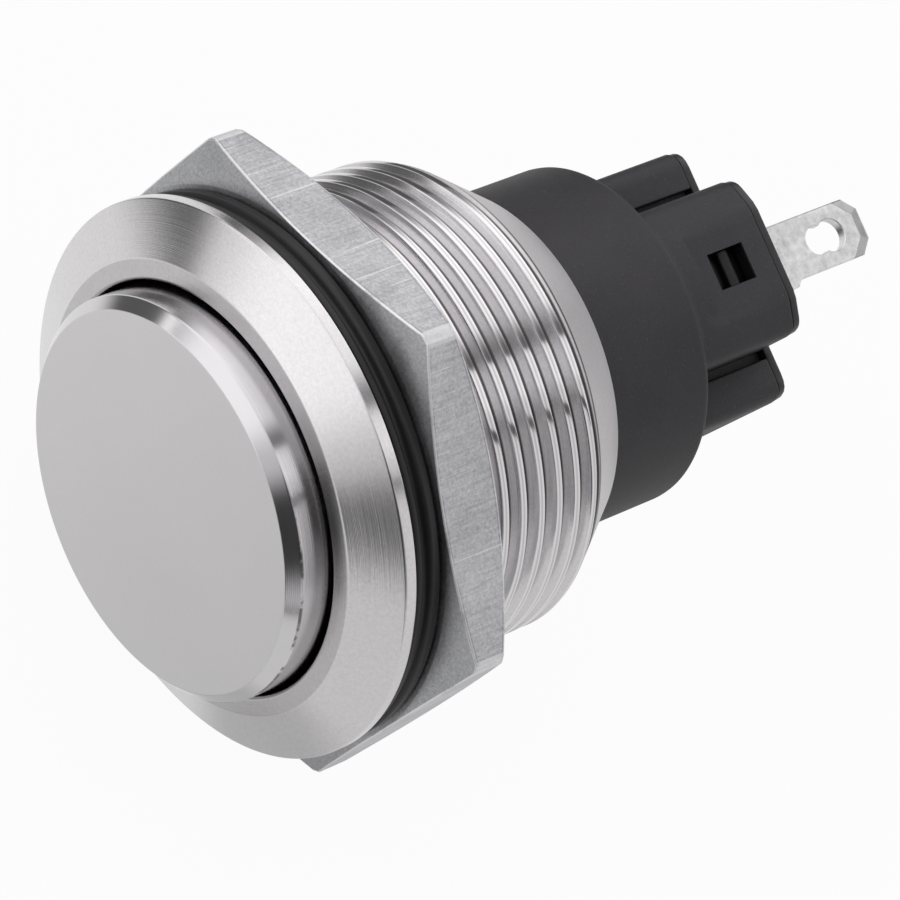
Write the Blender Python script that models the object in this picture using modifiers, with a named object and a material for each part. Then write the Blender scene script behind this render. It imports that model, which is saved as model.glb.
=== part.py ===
"""Vandal resistant push button for a 22 mm panel hole, with a normally open contact.

The design frame has its origin on the button's axis, in the plane of the bezel's back face.
Local +Z points out of the panel, towards the finger, and local +Y points to the top of the switch.
The frame empty turns that into world axes: the button faces -Y, and the top of the switch is +Z.
"""

import math

import bmesh
import bpy
from mathutils import Matrix, Vector

MM = 0.001

# Clearances between separate pieces
SEAT_GAP = 0.15 * MM
PARTING_GAP = 0.10 * MM
RUNNING_GAP = 0.20 * MM
TRIM = 0.01 * MM

# Threaded sleeve and bezel, one turned piece of stainless steel
SLEEVE_DIAMETER = 21.7 * MM
SLEEVE_LENGTH = 11.36 * MM
SLEEVE_WALL = 1.48 * MM
CHAMBER_WALL = 2.7 * MM
TAPER_LENGTH = 3.45 * MM
TAPER_LIP = 0.35 * MM
BEZEL_OVERHANG = 1.65 * MM
BEZEL_HEIGHT = 1.83 * MM
RIM_HEIGHT = 0.58 * MM
LAND_WIDTH = 0.78 * MM
LAND_DROP = 0.09 * MM
GUIDE_WALL = 2.4 * MM
STEM_SEAL_SECTION = 1.0 * MM

# Right-hand thread of the sleeve
THREAD_PITCH = 1.0 * MM
THREAD_CREST = 0.32 * MM
THREAD_ROOT = 0.14 * MM
THREAD_FLANK_DEG = 30.0
THREAD_RELIEF = 1.6 * MM

# Button
BUTTON_CLEARANCE = 0.335 * MM
BUTTON_HEIGHT = 3.72 * MM
BUTTON_CHAMFER = 0.52 * MM
BUTTON_CROWN = 2.0 * MM
BUTTON_TRAVEL = 1.8 * MM
SKIRT_WALL = 0.85 * MM
SKIRT_DEPTH = 1.9 * MM
SKIRT_CLEARANCE = 0.9 * MM
STEM_TAIL = 0.8 * MM

# Ring that keeps the button in the sleeve
CLIP_THICKNESS = 0.6 * MM
CLIP_SHOULDER = 1.4 * MM
CLIP_GROOVE_DEPTH = 0.5 * MM
CLIP_CLEARANCE = 0.52 * MM
CLIP_MOUTH = 4.0 * MM

# Panel seal and nut
SEAL_THICKNESS = 1.28 * MM
SEAL_INSET = 0.15 * MM
SEAL_GROOVE_DEPTH = 0.4 * MM
SEAL_LIP = 0.3 * MM
NUT_WALL = 1.5 * MM
NUT_CORNER_CUT = 0.1 * MM
NUT_THICKNESS = 2.9 * MM
NUT_FRONT_CHAMFER_DEG = 16.0
NUT_BACK_CHAMFER_DEG = 25.0
NUT_TURN_DEG = 4.6

# Contact housing: a moulded drum with a cross shaped tower behind it
DRUM_CLEARANCE = 0.23 * MM
DRUM_RIM = 0.25 * MM
DRUM_WALL = 1.3 * MM
DRUM_REAR = 20.85 * MM
WELL_WALL = 1.0 * MM
FRONT_WALL = 1.3 * MM
REAR_WALL = 1.0 * MM
HOUSING_SEAL_SECTION = 0.7 * MM
LOCK_WIRE = 0.8 * MM
LOCK_MOUTH_DEG = 30.0
TOWER_LENGTH = 5.35 * MM
TOWER_WALL = 1.0 * MM
TOWER_STEP = 0.06 * MM
UPRIGHT_WIDTH = 7.5 * MM
CROSSBAR_INSET = 1.82 * MM
CROSSBAR_HEIGHT = 8.8 * MM
RELIEF_WIDTH = 0.45 * MM
RELIEF_DEPTH = 0.5 * MM
TOWER_CORNER = 0.55 * MM
TOWER_FLAT = 0.35 * MM
TOWER_FLAT_LENGTH = 4.3 * MM
WINDOW_WIDTH = 1.7 * MM
WINDOW_LENGTH = 2.1 * MM
WINDOW_FROM_REAR = 1.3 * MM

# Terminal base, which closes the tower
BASE_FLANGE = 0.38 * MM
BASE_PLUG = 4.4 * MM
LATCH_LENGTH = 0.7 * MM
LATCH_HEIGHT = 0.55 * MM

# Terminals and contacts
TERMINAL_WIDTH = 2.8 * MM
TERMINAL_THICKNESS = 0.5 * MM
TERMINAL_REACH = 8.9 * MM
TERMINAL_TIP_CUT = 0.62 * MM
TERMINAL_EDGE = 0.12 * MM
SHOULDER_WIDTH = 0.3 * MM
SHOULDER_REACH = 4.05 * MM
EYE_DIAMETER = 1.4 * MM
EYE_END_DIAMETER = 1.56 * MM
EYE_FROM_TIP = 2.15 * MM
EYE_STRETCH = 0.85 * MM
CONTACT_DIAMETER = 1.5 * MM
CONTACT_HEIGHT = 0.4 * MM
CONTACT_CLEARANCE = 0.2 * MM
CONTACT_GAP = 0.9 * MM
FOOT_LIP = 0.05 * MM
BLADE_CLEARANCE = 0.25 * MM
BRIDGE_WEB = 0.35 * MM
BRIDGE_THICKNESS = 0.4 * MM

# Plunger
PLUNGER_HEAD_DIAMETER = 6.8 * MM
PLUNGER_HEAD = 1.0 * MM
PLUNGER_SHAFT = 3.7 * MM
PLUNGER_SHAFT_STEP = 0.8 * MM
PLUNGER_NOSE_DIAMETER = 1.3 * MM
PLUNGER_CATCH_LIP = 0.35 * MM
PLUNGER_CATCH = 0.6 * MM
PLUNGER_PIN_STEP = 0.55 * MM
PLUNGER_PIN = 0.8 * MM

# Springs
RETURN_SPRING_WIRE = 0.7 * MM
RETURN_SPRING_TURNS = 3
CONTACT_SPRING_WIRE = 0.25 * MM
CONTACT_SPRING_LENGTH = 2.1 * MM
CONTACT_SPRING_TURNS = 2
PLUNGER_SPRING_WIRE = 0.25 * MM
PLUNGER_SPRING_TURNS = 4

# Fineness of the round surfaces
STEPS = 40
THREAD_STEPS = 40
SMALL_STEPS = 24
RING_SIDES = 6
COIL_STEPS = 10

# Radii, from the sleeve inwards and outwards
SLEEVE_RADIUS = SLEEVE_DIAMETER / 2
THREAD_FLANK = (THREAD_PITCH - THREAD_CREST - THREAD_ROOT) / 2
THREAD_DEPTH = THREAD_FLANK / math.tan(math.radians(THREAD_FLANK_DEG))
THREAD_ROOT_RADIUS = SLEEVE_RADIUS - THREAD_DEPTH
RIM_RADIUS = SLEEVE_RADIUS + BEZEL_OVERHANG
BUTTON_BORE_RADIUS = SLEEVE_RADIUS - SLEEVE_WALL
LAND_RADIUS = BUTTON_BORE_RADIUS + LAND_WIDTH
BUTTON_RADIUS = BUTTON_BORE_RADIUS - BUTTON_CLEARANCE
SKIRT_RADIUS = BUTTON_RADIUS - SKIRT_WALL
SEAL_RADIUS = RIM_RADIUS - SEAL_INSET
SEAL_BORE_RADIUS = SLEEVE_RADIUS + RUNNING_GAP
NUT_BORE_RADIUS = SLEEVE_RADIUS + RUNNING_GAP
NUT_FLAT_RADIUS = NUT_BORE_RADIUS + NUT_WALL
NUT_SHARP_RADIUS = NUT_FLAT_RADIUS / math.cos(math.radians(30))
NUT_CORNER_RADIUS = NUT_SHARP_RADIUS - NUT_CORNER_CUT

# Radii, from the chamber behind the guide wall inwards
CHAMBER_RADIUS = SLEEVE_RADIUS - CHAMBER_WALL
DRUM_RADIUS = CHAMBER_RADIUS - DRUM_CLEARANCE
TAPER_END_RADIUS = CHAMBER_RADIUS + TAPER_LIP
WELL_RADIUS = DRUM_RADIUS - WELL_WALL
CLIP_RADIUS = WELL_RADIUS - CLIP_CLEARANCE
STEM_RADIUS = CLIP_RADIUS - CLIP_SHOULDER
CLIP_GROOVE_RADIUS = STEM_RADIUS - CLIP_GROOVE_DEPTH
GUIDE_RADIUS = STEM_RADIUS + RUNNING_GAP
HALF_UPRIGHT = UPRIGHT_WIDTH / 2
HALF_CROSSBAR = DRUM_RADIUS - CROSSBAR_INSET
HALF_HEIGHT = CROSSBAR_HEIGHT / 2
RETURN_SPRING_RADIUS = (STEM_RADIUS + SKIRT_RADIUS) / 2

# Radii, from the plunger's nose outwards
NOSE_RADIUS = PLUNGER_NOSE_DIAMETER / 2
CATCH_RADIUS = NOSE_RADIUS + PLUNGER_CATCH_LIP
PIN_RADIUS = CATCH_RADIUS - PLUNGER_PIN_STEP
SHAFT_RADIUS = NOSE_RADIUS + PLUNGER_SHAFT_STEP
BRIDGE_HOLE_RADIUS = NOSE_RADIUS + PARTING_GAP
CONTACT_SPRING_RADIUS = NOSE_RADIUS + RUNNING_GAP + CONTACT_SPRING_WIRE / 2
PLUNGER_SPRING_RADIUS = PIN_RADIUS + RUNNING_GAP + PLUNGER_SPRING_WIRE / 2
CONTACT_RADIUS = CONTACT_DIAMETER / 2
CONTACT_OFFSET = CATCH_RADIUS + CONTACT_CLEARANCE + CONTACT_RADIUS
FOOT_END = CONTACT_OFFSET - CONTACT_RADIUS - FOOT_LIP
BLADE_INNER = CONTACT_OFFSET + CONTACT_RADIUS + BLADE_CLEARANCE
BLADE_OUTER = BLADE_INNER + TERMINAL_THICKNESS

# Depths along the axis, each a local z; the back of the bezel is at zero
GUIDE_FRONT = -SKIRT_DEPTH - BUTTON_TRAVEL - SKIRT_CLEARANCE
GUIDE_BACK = GUIDE_FRONT - GUIDE_WALL
TAPER_BACK = -SLEEVE_LENGTH - TAPER_LENGTH
THREAD_BACK = -SLEEVE_LENGTH - TAPER_LENGTH * THREAD_DEPTH / (SLEEVE_RADIUS - TAPER_END_RADIUS)
CEILING = BUTTON_HEIGHT - BUTTON_CROWN
CLIP_FRONT = GUIDE_BACK - SEAT_GAP
CLIP_BACK = CLIP_FRONT - CLIP_THICKNESS
STEM_END = CLIP_BACK - STEM_TAIL
PLUNGER_TOP = STEM_END - SEAT_GAP
PLUNGER_HEAD_BACK = PLUNGER_TOP - PLUNGER_HEAD
SHAFT_END = PLUNGER_HEAD_BACK - PLUNGER_SHAFT
WELL_FRONT = GUIDE_BACK - SEAT_GAP - RUNNING_GAP
WALL_FRONT = PLUNGER_HEAD_BACK - BUTTON_TRAVEL - RUNNING_GAP
WALL_BACK = WALL_FRONT - FRONT_WALL
BRIDGE_FRONT = SHAFT_END - CONTACT_SPRING_LENGTH - 2 * SEAT_GAP
BRIDGE_BACK = BRIDGE_FRONT - BRIDGE_THICKNESS
CATCH_FRONT = BRIDGE_BACK - SEAT_GAP
CATCH_BACK = CATCH_FRONT - PLUNGER_CATCH
MOVING_CONTACT_TOP = BRIDGE_BACK - PARTING_GAP
MOVING_CONTACT_FACE = MOVING_CONTACT_TOP - CONTACT_HEIGHT
FIXED_CONTACT_FACE = MOVING_CONTACT_FACE - CONTACT_GAP
FIXED_CONTACT_BACK = FIXED_CONTACT_FACE - CONTACT_HEIGHT
FOOT_FRONT = FIXED_CONTACT_BACK - PARTING_GAP
FOOT_BACK = FOOT_FRONT - TERMINAL_THICKNESS
TOWER_BACK = -DRUM_REAR - TOWER_LENGTH
FLANGE_FRONT = TOWER_BACK - PARTING_GAP
FLANGE_BACK = FLANGE_FRONT - BASE_FLANGE
PLUG_FRONT = FLANGE_FRONT + BASE_PLUG
WINDOW_BACK = TOWER_BACK + WINDOW_FROM_REAR
TIP = FLANGE_BACK - TERMINAL_REACH
SEAL_FRONT = -SEAT_GAP
SEAL_BACK = SEAL_FRONT - SEAL_THICKNESS
NUT_FRONT = SEAL_BACK - SEAT_GAP
NUT_BACK = NUT_FRONT - NUT_THICKNESS

# Grooves: each is as wide as its ring with a seat gap on both sides
STEM_GROOVE_WIDTH = STEM_SEAL_SECTION + 2 * SEAT_GAP
STEM_GROOVE_RADIUS = STEM_RADIUS + STEM_GROOVE_WIDTH
STEM_GROOVE_CENTRE = (GUIDE_FRONT + GUIDE_BACK) / 2
HOUSING_GROOVE_WIDTH = HOUSING_SEAL_SECTION + 2 * SEAT_GAP
HOUSING_GROOVE_RADIUS = CHAMBER_RADIUS - HOUSING_GROOVE_WIDTH
HOUSING_GROOVE_CENTRE = (WALL_FRONT + WALL_BACK) / 2
LOCK_WIDTH = LOCK_WIRE + 2 * SEAT_GAP
LOCK_RADIUS = (CHAMBER_RADIUS + DRUM_RADIUS) / 2
LOCK_CENTRE = (CLIP_BACK + WALL_FRONT) / 2


def new_collection(name):
    """Makes an empty collection in the scene."""
    collection = bpy.data.collections.new(name)
    bpy.context.scene.collection.children.link(collection)
    return collection


def clear_scene():
    """Takes every object out of the scene."""
    for thing in list(bpy.data.objects):
        bpy.data.objects.remove(thing, do_unlink=True)


def material(name, colour, roughness, metallic):
    """A plain finish for one piece."""
    made = bpy.data.materials.new(name)
    made.use_nodes = True
    shader = made.node_tree.nodes["Principled BSDF"]
    shader.inputs["Base Color"].default_value = (*colour, 1.0)
    shader.inputs["Roughness"].default_value = roughness
    shader.inputs["Metallic"].default_value = metallic
    return made


def curve_mesh(name, curve, turn):
    """The closed mesh of a curve: caps welded, each flat cap one face, and faces outwards."""
    path = bpy.data.objects.new(name + "_path", curve)
    guides.objects.link(path)
    evaluated = path.evaluated_get(bpy.context.evaluated_depsgraph_get())
    mesh = bpy.data.meshes.new_from_object(evaluated)
    shape = bmesh.new()
    shape.from_mesh(mesh)
    bmesh.ops.remove_doubles(shape, verts=shape.verts, dist=1e-6)
    for level in (curve.extrude, -curve.extrude) if curve.dimensions == "2D" else ():
        cap = [f for f in shape.faces if all(abs(v.co.z - level) < TRIM for v in f.verts)]
        bmesh.ops.dissolve_faces(shape, faces=cap)
    bmesh.ops.transform(shape, matrix=turn, verts=shape.verts)
    bmesh.ops.recalc_face_normals(shape, faces=shape.faces)
    shape.to_mesh(mesh)
    shape.free()
    bpy.data.objects.remove(path)
    mesh.materials.clear()
    return mesh


def place(mesh, name, finish=None):
    """Adds a piece, or a guide when it has no finish, in the design frame."""
    thing = bpy.data.objects.new(name, mesh)
    thing.parent = frame
    if finish is None:
        guides.objects.link(thing)
        thing.hide_render = True
        thing.display_type = "WIRE"
    else:
        parts.objects.link(thing)
        mesh.materials.append(material(name, *finish))
    return thing


def smooth(mesh, angle=math.radians(28)):
    """Smooth shading with sharp creases."""
    mesh.shade_smooth()
    mesh.set_sharp_from_angle(angle=angle)


def turned(name, profile, finish=None, closed=False, steps=STEPS):
    """Turns a profile of (radius, z) points about the axis. It runs down the outer side."""
    mesh = bpy.data.meshes.new(name)
    points = [(radius, 0.0, z) for radius, z in profile]
    edges = [(i, i + 1) for i in range(len(points) - 1)]
    if closed:
        edges.append((len(points) - 1, 0))
    mesh.from_pydata(points, edges, [])
    thing = place(mesh, name, finish)
    screw = thing.modifiers.new("turn", "SCREW")
    screw.axis = "Z"
    screw.steps = steps
    screw.render_steps = steps
    screw.use_merge_vertices = True
    screw.merge_threshold = 1e-6
    screw.use_smooth_shade = True
    return thing


def extruded(name, outline, low, high, finish=None, turn=Matrix()):
    """A flat outline of (x, y) points given thickness along z, as a filled 2D curve made a mesh."""
    curve = bpy.data.curves.new(name, "CURVE")
    curve.dimensions = "2D"
    curve.fill_mode = "BOTH"
    curve.extrude = (high - low) / 2
    spline = curve.splines.new("POLY")
    spline.points.add(len(outline) - 1)
    for point, (x, y) in zip(spline.points, outline):
        point.co = (x, y, 0.0, 1.0)
    spline.use_cyclic_u = True
    lift = Matrix.Translation((0.0, 0.0, (high + low) / 2))
    return place(curve_mesh(name, curve, turn @ lift), name, finish)


def boxed(name, low, high, finish=None):
    """A box between two corners, from a cube primitive."""
    shape = bmesh.new()
    bmesh.ops.create_cube(shape, size=1.0)
    size = Vector(high) - Vector(low)
    middle = (Vector(high) + Vector(low)) / 2
    bmesh.ops.scale(shape, vec=size, verts=shape.verts)
    bmesh.ops.translate(shape, vec=middle, verts=shape.verts)
    mesh = bpy.data.meshes.new(name)
    shape.to_mesh(mesh)
    shape.free()
    return place(mesh, name, finish)


def wire(name, points, radius, finish, cyclic=False):
    """Sweeps a round section along points: a curve with filled caps, made a mesh."""
    curve = bpy.data.curves.new(name, "CURVE")
    curve.dimensions = "3D"
    curve.bevel_depth = radius
    curve.bevel_resolution = 2
    curve.use_fill_caps = not cyclic
    spline = curve.splines.new("POLY")
    spline.points.add(len(points) - 1)
    for point, co in zip(spline.points, points):
        point.co = (*co, 1.0)
    spline.use_cyclic_u = cyclic
    mesh = curve_mesh(name, curve, Matrix())
    smooth(mesh, math.radians(50))
    return place(mesh, name, finish)


def combine(thing, other, operation):
    """Joins or cuts a piece with a guide."""
    change = thing.modifiers.new(operation.lower() + "_" + other.name, "BOOLEAN")
    change.operation = operation
    change.object = other
    change.solver = "EXACT"


def soften(thing, width, segments=1, angle=math.radians(40)):
    """Breaks the sharp edges of a piece."""
    bevel = thing.modifiers.new("edges", "BEVEL")
    bevel.width = width
    bevel.segments = segments
    bevel.limit_method = "ANGLE"
    bevel.angle_limit = angle
    bevel.harden_normals = False


def ring_profile(inner, outer, top, bottom, chamfer=0.0):
    """Section of a plain ring, with its outer corners broken."""
    points = [(inner, top), (outer - chamfer, top)]
    if chamfer:
        points.append((outer, top - chamfer))
        points.append((outer, bottom + chamfer))
    points.append((outer - chamfer, bottom))
    points.append((inner, bottom))
    return points


def disc_profile(radius, top, bottom, chamfer=0.0):
    """Half section of a solid disc, from the axis and back to it."""
    return [(0.0, top)] + ring_profile(0.0, radius, top, bottom, chamfer)[1:-1] + [(0.0, bottom)]


def round_section(centre_radius, centre_z, radius, sides=RING_SIDES):
    """Section of a rubber ring, clockwise so that its turned surface faces outwards."""
    angles = [math.tau * (0.5 - i) / sides for i in range(sides)]
    return [(centre_radius + radius * math.cos(a), centre_z + radius * math.sin(a)) for a in angles]


def coil(radius, top, bottom, turns, wire_diameter):
    """Points down a coil spring with a closed turn at each end."""
    usable = (top - bottom) - wire_diameter
    closed = wire_diameter * 1.15
    active = (usable - 2 * closed) / turns
    points = []
    total = (turns + 2) * COIL_STEPS
    for i in range(total + 1):
        turn = i / COIL_STEPS
        fall = closed * min(turn, 1.0)
        fall += active * min(max(turn - 1.0, 0.0), turns)
        fall += closed * max(turn - 1.0 - turns, 0.0)
        angle = math.tau * turn
        height = top - wire_diameter / 2 - fall
        points.append((radius * math.cos(angle), radius * math.sin(angle), height))
    return points


def arc(centre, radius, start, end, count):
    """Points on an arc, from start to end in degrees."""
    turn = [math.radians(start + (end - start) * i / count) for i in range(count + 1)]
    return [(centre[0] + radius * math.cos(a), centre[1] + radius * math.sin(a)) for a in turn]


def cross_outline(half_upright, half_bar, bar_half_height, reach):
    """Outline of the tower: an upright whose ends follow the drum, and a lower cross bar."""
    lift = math.degrees(math.asin(half_upright / reach))
    top = arc((0.0, 0.0), reach, 90.0 - lift, 90.0 + lift, 8)
    left = [(-half_upright, bar_half_height), (-half_bar, bar_half_height)]
    left += [(-half_bar, -bar_half_height), (-half_upright, -bar_half_height)]
    bottom = [(-x, -y) for x, y in top]
    right = [(-x, -y) for x, y in left]
    return top + left + bottom + right


def thread_radius(depth, angle):
    """Radius of the thread: flat crests, straight flanks, flat roots, all cut by the taper."""
    phase = (depth / THREAD_PITCH + angle / math.tau - 0.25) % 1.0
    past_crest = min(phase, 1.0 - phase) * THREAD_PITCH - THREAD_CREST / 2
    fall = min(max(past_crest, 0.0) / math.tan(math.radians(THREAD_FLANK_DEG)), THREAD_DEPTH)
    share = max(0.0, (depth - SLEEVE_LENGTH) / TAPER_LENGTH)
    taper = SLEEVE_RADIUS - (SLEEVE_RADIUS - TAPER_END_RADIUS) * share
    return min(SLEEVE_RADIUS - fall, taper)


def thread_rows():
    """Rows of (radius, z) down the thread, one point for each step round the axis and one more.

    Each row follows the helix of one edge of the thread form. Past the thread's two ends it is
    held at the end, so the rows meet there in one circle."""
    crest, root = THREAD_CREST / THREAD_PITCH / 2, THREAD_ROOT / THREAD_PITCH / 2
    first = int(THREAD_RELIEF / THREAD_PITCH) - 2
    last = int(-THREAD_BACK / THREAD_PITCH) + 2
    rows = []
    for number in range(first, last + 1):
        for phase in (-crest, crest, 0.5 - root, 0.5 + root):
            row = []
            for i in range(THREAD_STEPS + 1):
                angle = math.tau * i / THREAD_STEPS
                depth = THREAD_PITCH * (number + phase + 0.25 - angle / math.tau)
                depth = min(max(depth, THREAD_RELIEF), -THREAD_BACK)
                row.append((thread_radius(depth, angle), -depth))
            rows.append(row)
    return rows


def threaded(name, profile, finish):
    """Turns a profile that runs from the thread's back end round to its front end, and closes
    it with the thread. Points that fall together are welded."""
    rows = thread_rows() + [[point] * (THREAD_STEPS + 1) for point in profile]
    shape = bmesh.new()
    grid = []
    for row in rows:
        angles = [math.tau * i / THREAD_STEPS for i in range(THREAD_STEPS + 1)]
        points = [(r * math.cos(a), r * math.sin(a), z) for (r, z), a in zip(row, angles)]
        grid.append([shape.verts.new(point) for point in points])
    for upper, lower in zip(grid, grid[1:] + grid[:1]):
        for i in range(THREAD_STEPS):
            shape.faces.new((upper[i], upper[i + 1], lower[i + 1], lower[i]))
    bmesh.ops.remove_doubles(shape, verts=shape.verts, dist=1e-6)
    bmesh.ops.recalc_face_normals(shape, faces=shape.faces)
    mesh = bpy.data.meshes.new(name)
    shape.to_mesh(mesh)
    shape.free()
    smooth(mesh)
    return place(mesh, name, finish)


def make_bezel_housing():
    """Bezel, threaded sleeve and inner guide wall, turned from one bar."""
    groove_top = STEM_GROOVE_CENTRE + STEM_GROOVE_WIDTH / 2
    groove_bottom = STEM_GROOVE_CENTRE - STEM_GROOVE_WIDTH / 2
    lock_depth = LOCK_RADIUS + LOCK_WIDTH / 2
    profile = [
        (THREAD_ROOT_RADIUS, THREAD_BACK),
        (TAPER_END_RADIUS, TAPER_BACK),
        (CHAMBER_RADIUS, TAPER_BACK),
        (CHAMBER_RADIUS, LOCK_CENTRE - LOCK_WIDTH / 2),
        (lock_depth, LOCK_CENTRE - LOCK_WIDTH / 2),
        (lock_depth, LOCK_CENTRE + LOCK_WIDTH / 2),
        (CHAMBER_RADIUS, LOCK_CENTRE + LOCK_WIDTH / 2),
        (CHAMBER_RADIUS, GUIDE_BACK),
        (GUIDE_RADIUS, GUIDE_BACK),
        (GUIDE_RADIUS, groove_bottom),
        (STEM_GROOVE_RADIUS, groove_bottom),
        (STEM_GROOVE_RADIUS, groove_top),
        (GUIDE_RADIUS, groove_top),
        (GUIDE_RADIUS, GUIDE_FRONT),
        (BUTTON_BORE_RADIUS, GUIDE_FRONT),
        (BUTTON_BORE_RADIUS, BEZEL_HEIGHT),
        (LAND_RADIUS, BEZEL_HEIGHT - LAND_DROP),
        (RIM_RADIUS, RIM_HEIGHT),
        (RIM_RADIUS, 0.0),
        (THREAD_ROOT_RADIUS, 0.0),
        (THREAD_ROOT_RADIUS, -THREAD_RELIEF),
    ]
    return threaded("bezel_housing", profile, ((0.60, 0.59, 0.58), 0.28, 1.0))


def make_button_cap():
    """The button's flat crown, its skirt and the stem that runs in the guide wall."""
    profile = [
        (0.0, BUTTON_HEIGHT),
        (BUTTON_RADIUS - BUTTON_CHAMFER, BUTTON_HEIGHT),
        (BUTTON_RADIUS, BUTTON_HEIGHT - BUTTON_CHAMFER),
        (BUTTON_RADIUS, -SKIRT_DEPTH),
        (SKIRT_RADIUS, -SKIRT_DEPTH),
        (SKIRT_RADIUS, CEILING),
        (STEM_RADIUS, CEILING),
        (STEM_RADIUS, CLIP_FRONT + PARTING_GAP),
        (CLIP_GROOVE_RADIUS, CLIP_FRONT + PARTING_GAP),
        (CLIP_GROOVE_RADIUS, CLIP_BACK - PARTING_GAP),
        (STEM_RADIUS, CLIP_BACK - PARTING_GAP),
        (STEM_RADIUS, STEM_END),
        (0.0, STEM_END),
    ]
    return turned("button_cap", profile, ((0.62, 0.61, 0.60), 0.36, 1.0))


def make_stem_clip():
    """Open retaining ring in the stem's groove, which stops the button at the guide wall."""
    inner = CLIP_GROOVE_RADIUS + PARTING_GAP
    profile = ring_profile(inner, CLIP_RADIUS, CLIP_FRONT, CLIP_BACK)
    clip = turned("stem_clip", profile, ((0.35, 0.35, 0.36), 0.4, 1.0), closed=True, steps=40)
    half = CLIP_MOUTH / 2
    low = (-half, -CLIP_RADIUS - RUNNING_GAP, CLIP_BACK - RUNNING_GAP)
    mouth = boxed("stem_clip_mouth", low, (half, 0.0, CLIP_FRONT + RUNNING_GAP))
    combine(clip, mouth, "DIFFERENCE")
    return clip


def make_rubber_rings():
    """Seal round the stem, in the guide wall, and seal between the drum and the sleeve."""
    rubber = ((0.02, 0.02, 0.02), 0.6, 0.0)
    stem_centre = STEM_RADIUS + SEAT_GAP + STEM_SEAL_SECTION / 2
    section = round_section(stem_centre, STEM_GROOVE_CENTRE, STEM_SEAL_SECTION / 2)
    turned("stem_seal", section, rubber, closed=True, steps=36)
    housing_centre = HOUSING_GROOVE_RADIUS + SEAT_GAP + HOUSING_SEAL_SECTION / 2
    section = round_section(housing_centre, HOUSING_GROOVE_CENTRE, HOUSING_SEAL_SECTION / 2)
    turned("housing_seal", section, rubber, closed=True, steps=40)


def make_panel_seal():
    """Flat rubber seal under the bezel, with a groove round its edge that leaves two lips."""
    middle = (SEAL_FRONT + SEAL_BACK) / 2
    floor = SEAL_RADIUS - SEAL_GROOVE_DEPTH
    profile = [
        (SEAL_BORE_RADIUS, SEAL_FRONT),
        (SEAL_RADIUS, SEAL_FRONT),
        (SEAL_RADIUS, SEAL_FRONT - SEAL_LIP),
        (floor, middle),
        (SEAL_RADIUS, SEAL_BACK + SEAL_LIP),
        (SEAL_RADIUS, SEAL_BACK),
        (SEAL_BORE_RADIUS, SEAL_BACK),
    ]
    return turned("panel_seal", profile, ((0.02, 0.02, 0.02), 0.55, 0.0), closed=True)


def make_hex_nut():
    """A hexagon cut to the turned envelope of its two chamfers, then bored."""
    angles = [math.radians(NUT_TURN_DEG + 30.0 + 60.0 * i) for i in range(6)]
    outline = [(NUT_SHARP_RADIUS * math.cos(a), NUT_SHARP_RADIUS * math.sin(a)) for a in angles]
    nut = extruded("hex_nut", outline, NUT_BACK, NUT_FRONT, ((0.50, 0.50, 0.50), 0.45, 1.0))
    rise = NUT_CORNER_RADIUS - NUT_FLAT_RADIUS
    front_fall = rise * math.tan(math.radians(NUT_FRONT_CHAMFER_DEG))
    back_fall = rise * math.tan(math.radians(NUT_BACK_CHAMFER_DEG))
    envelope_profile = [
        (NUT_BORE_RADIUS, NUT_FRONT + RUNNING_GAP),
        (NUT_FLAT_RADIUS, NUT_FRONT + RUNNING_GAP),
        (NUT_FLAT_RADIUS - TRIM, NUT_FRONT - TRIM),
        (NUT_CORNER_RADIUS, NUT_FRONT - front_fall),
        (NUT_CORNER_RADIUS, NUT_BACK + back_fall),
        (NUT_FLAT_RADIUS - TRIM, NUT_BACK + TRIM),
        (NUT_FLAT_RADIUS, NUT_BACK - RUNNING_GAP),
        (NUT_BORE_RADIUS, NUT_BACK - RUNNING_GAP),
    ]
    envelope = turned("hex_nut_envelope", envelope_profile, closed=True, steps=56)
    combine(nut, envelope, "INTERSECT")
    return nut


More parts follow.
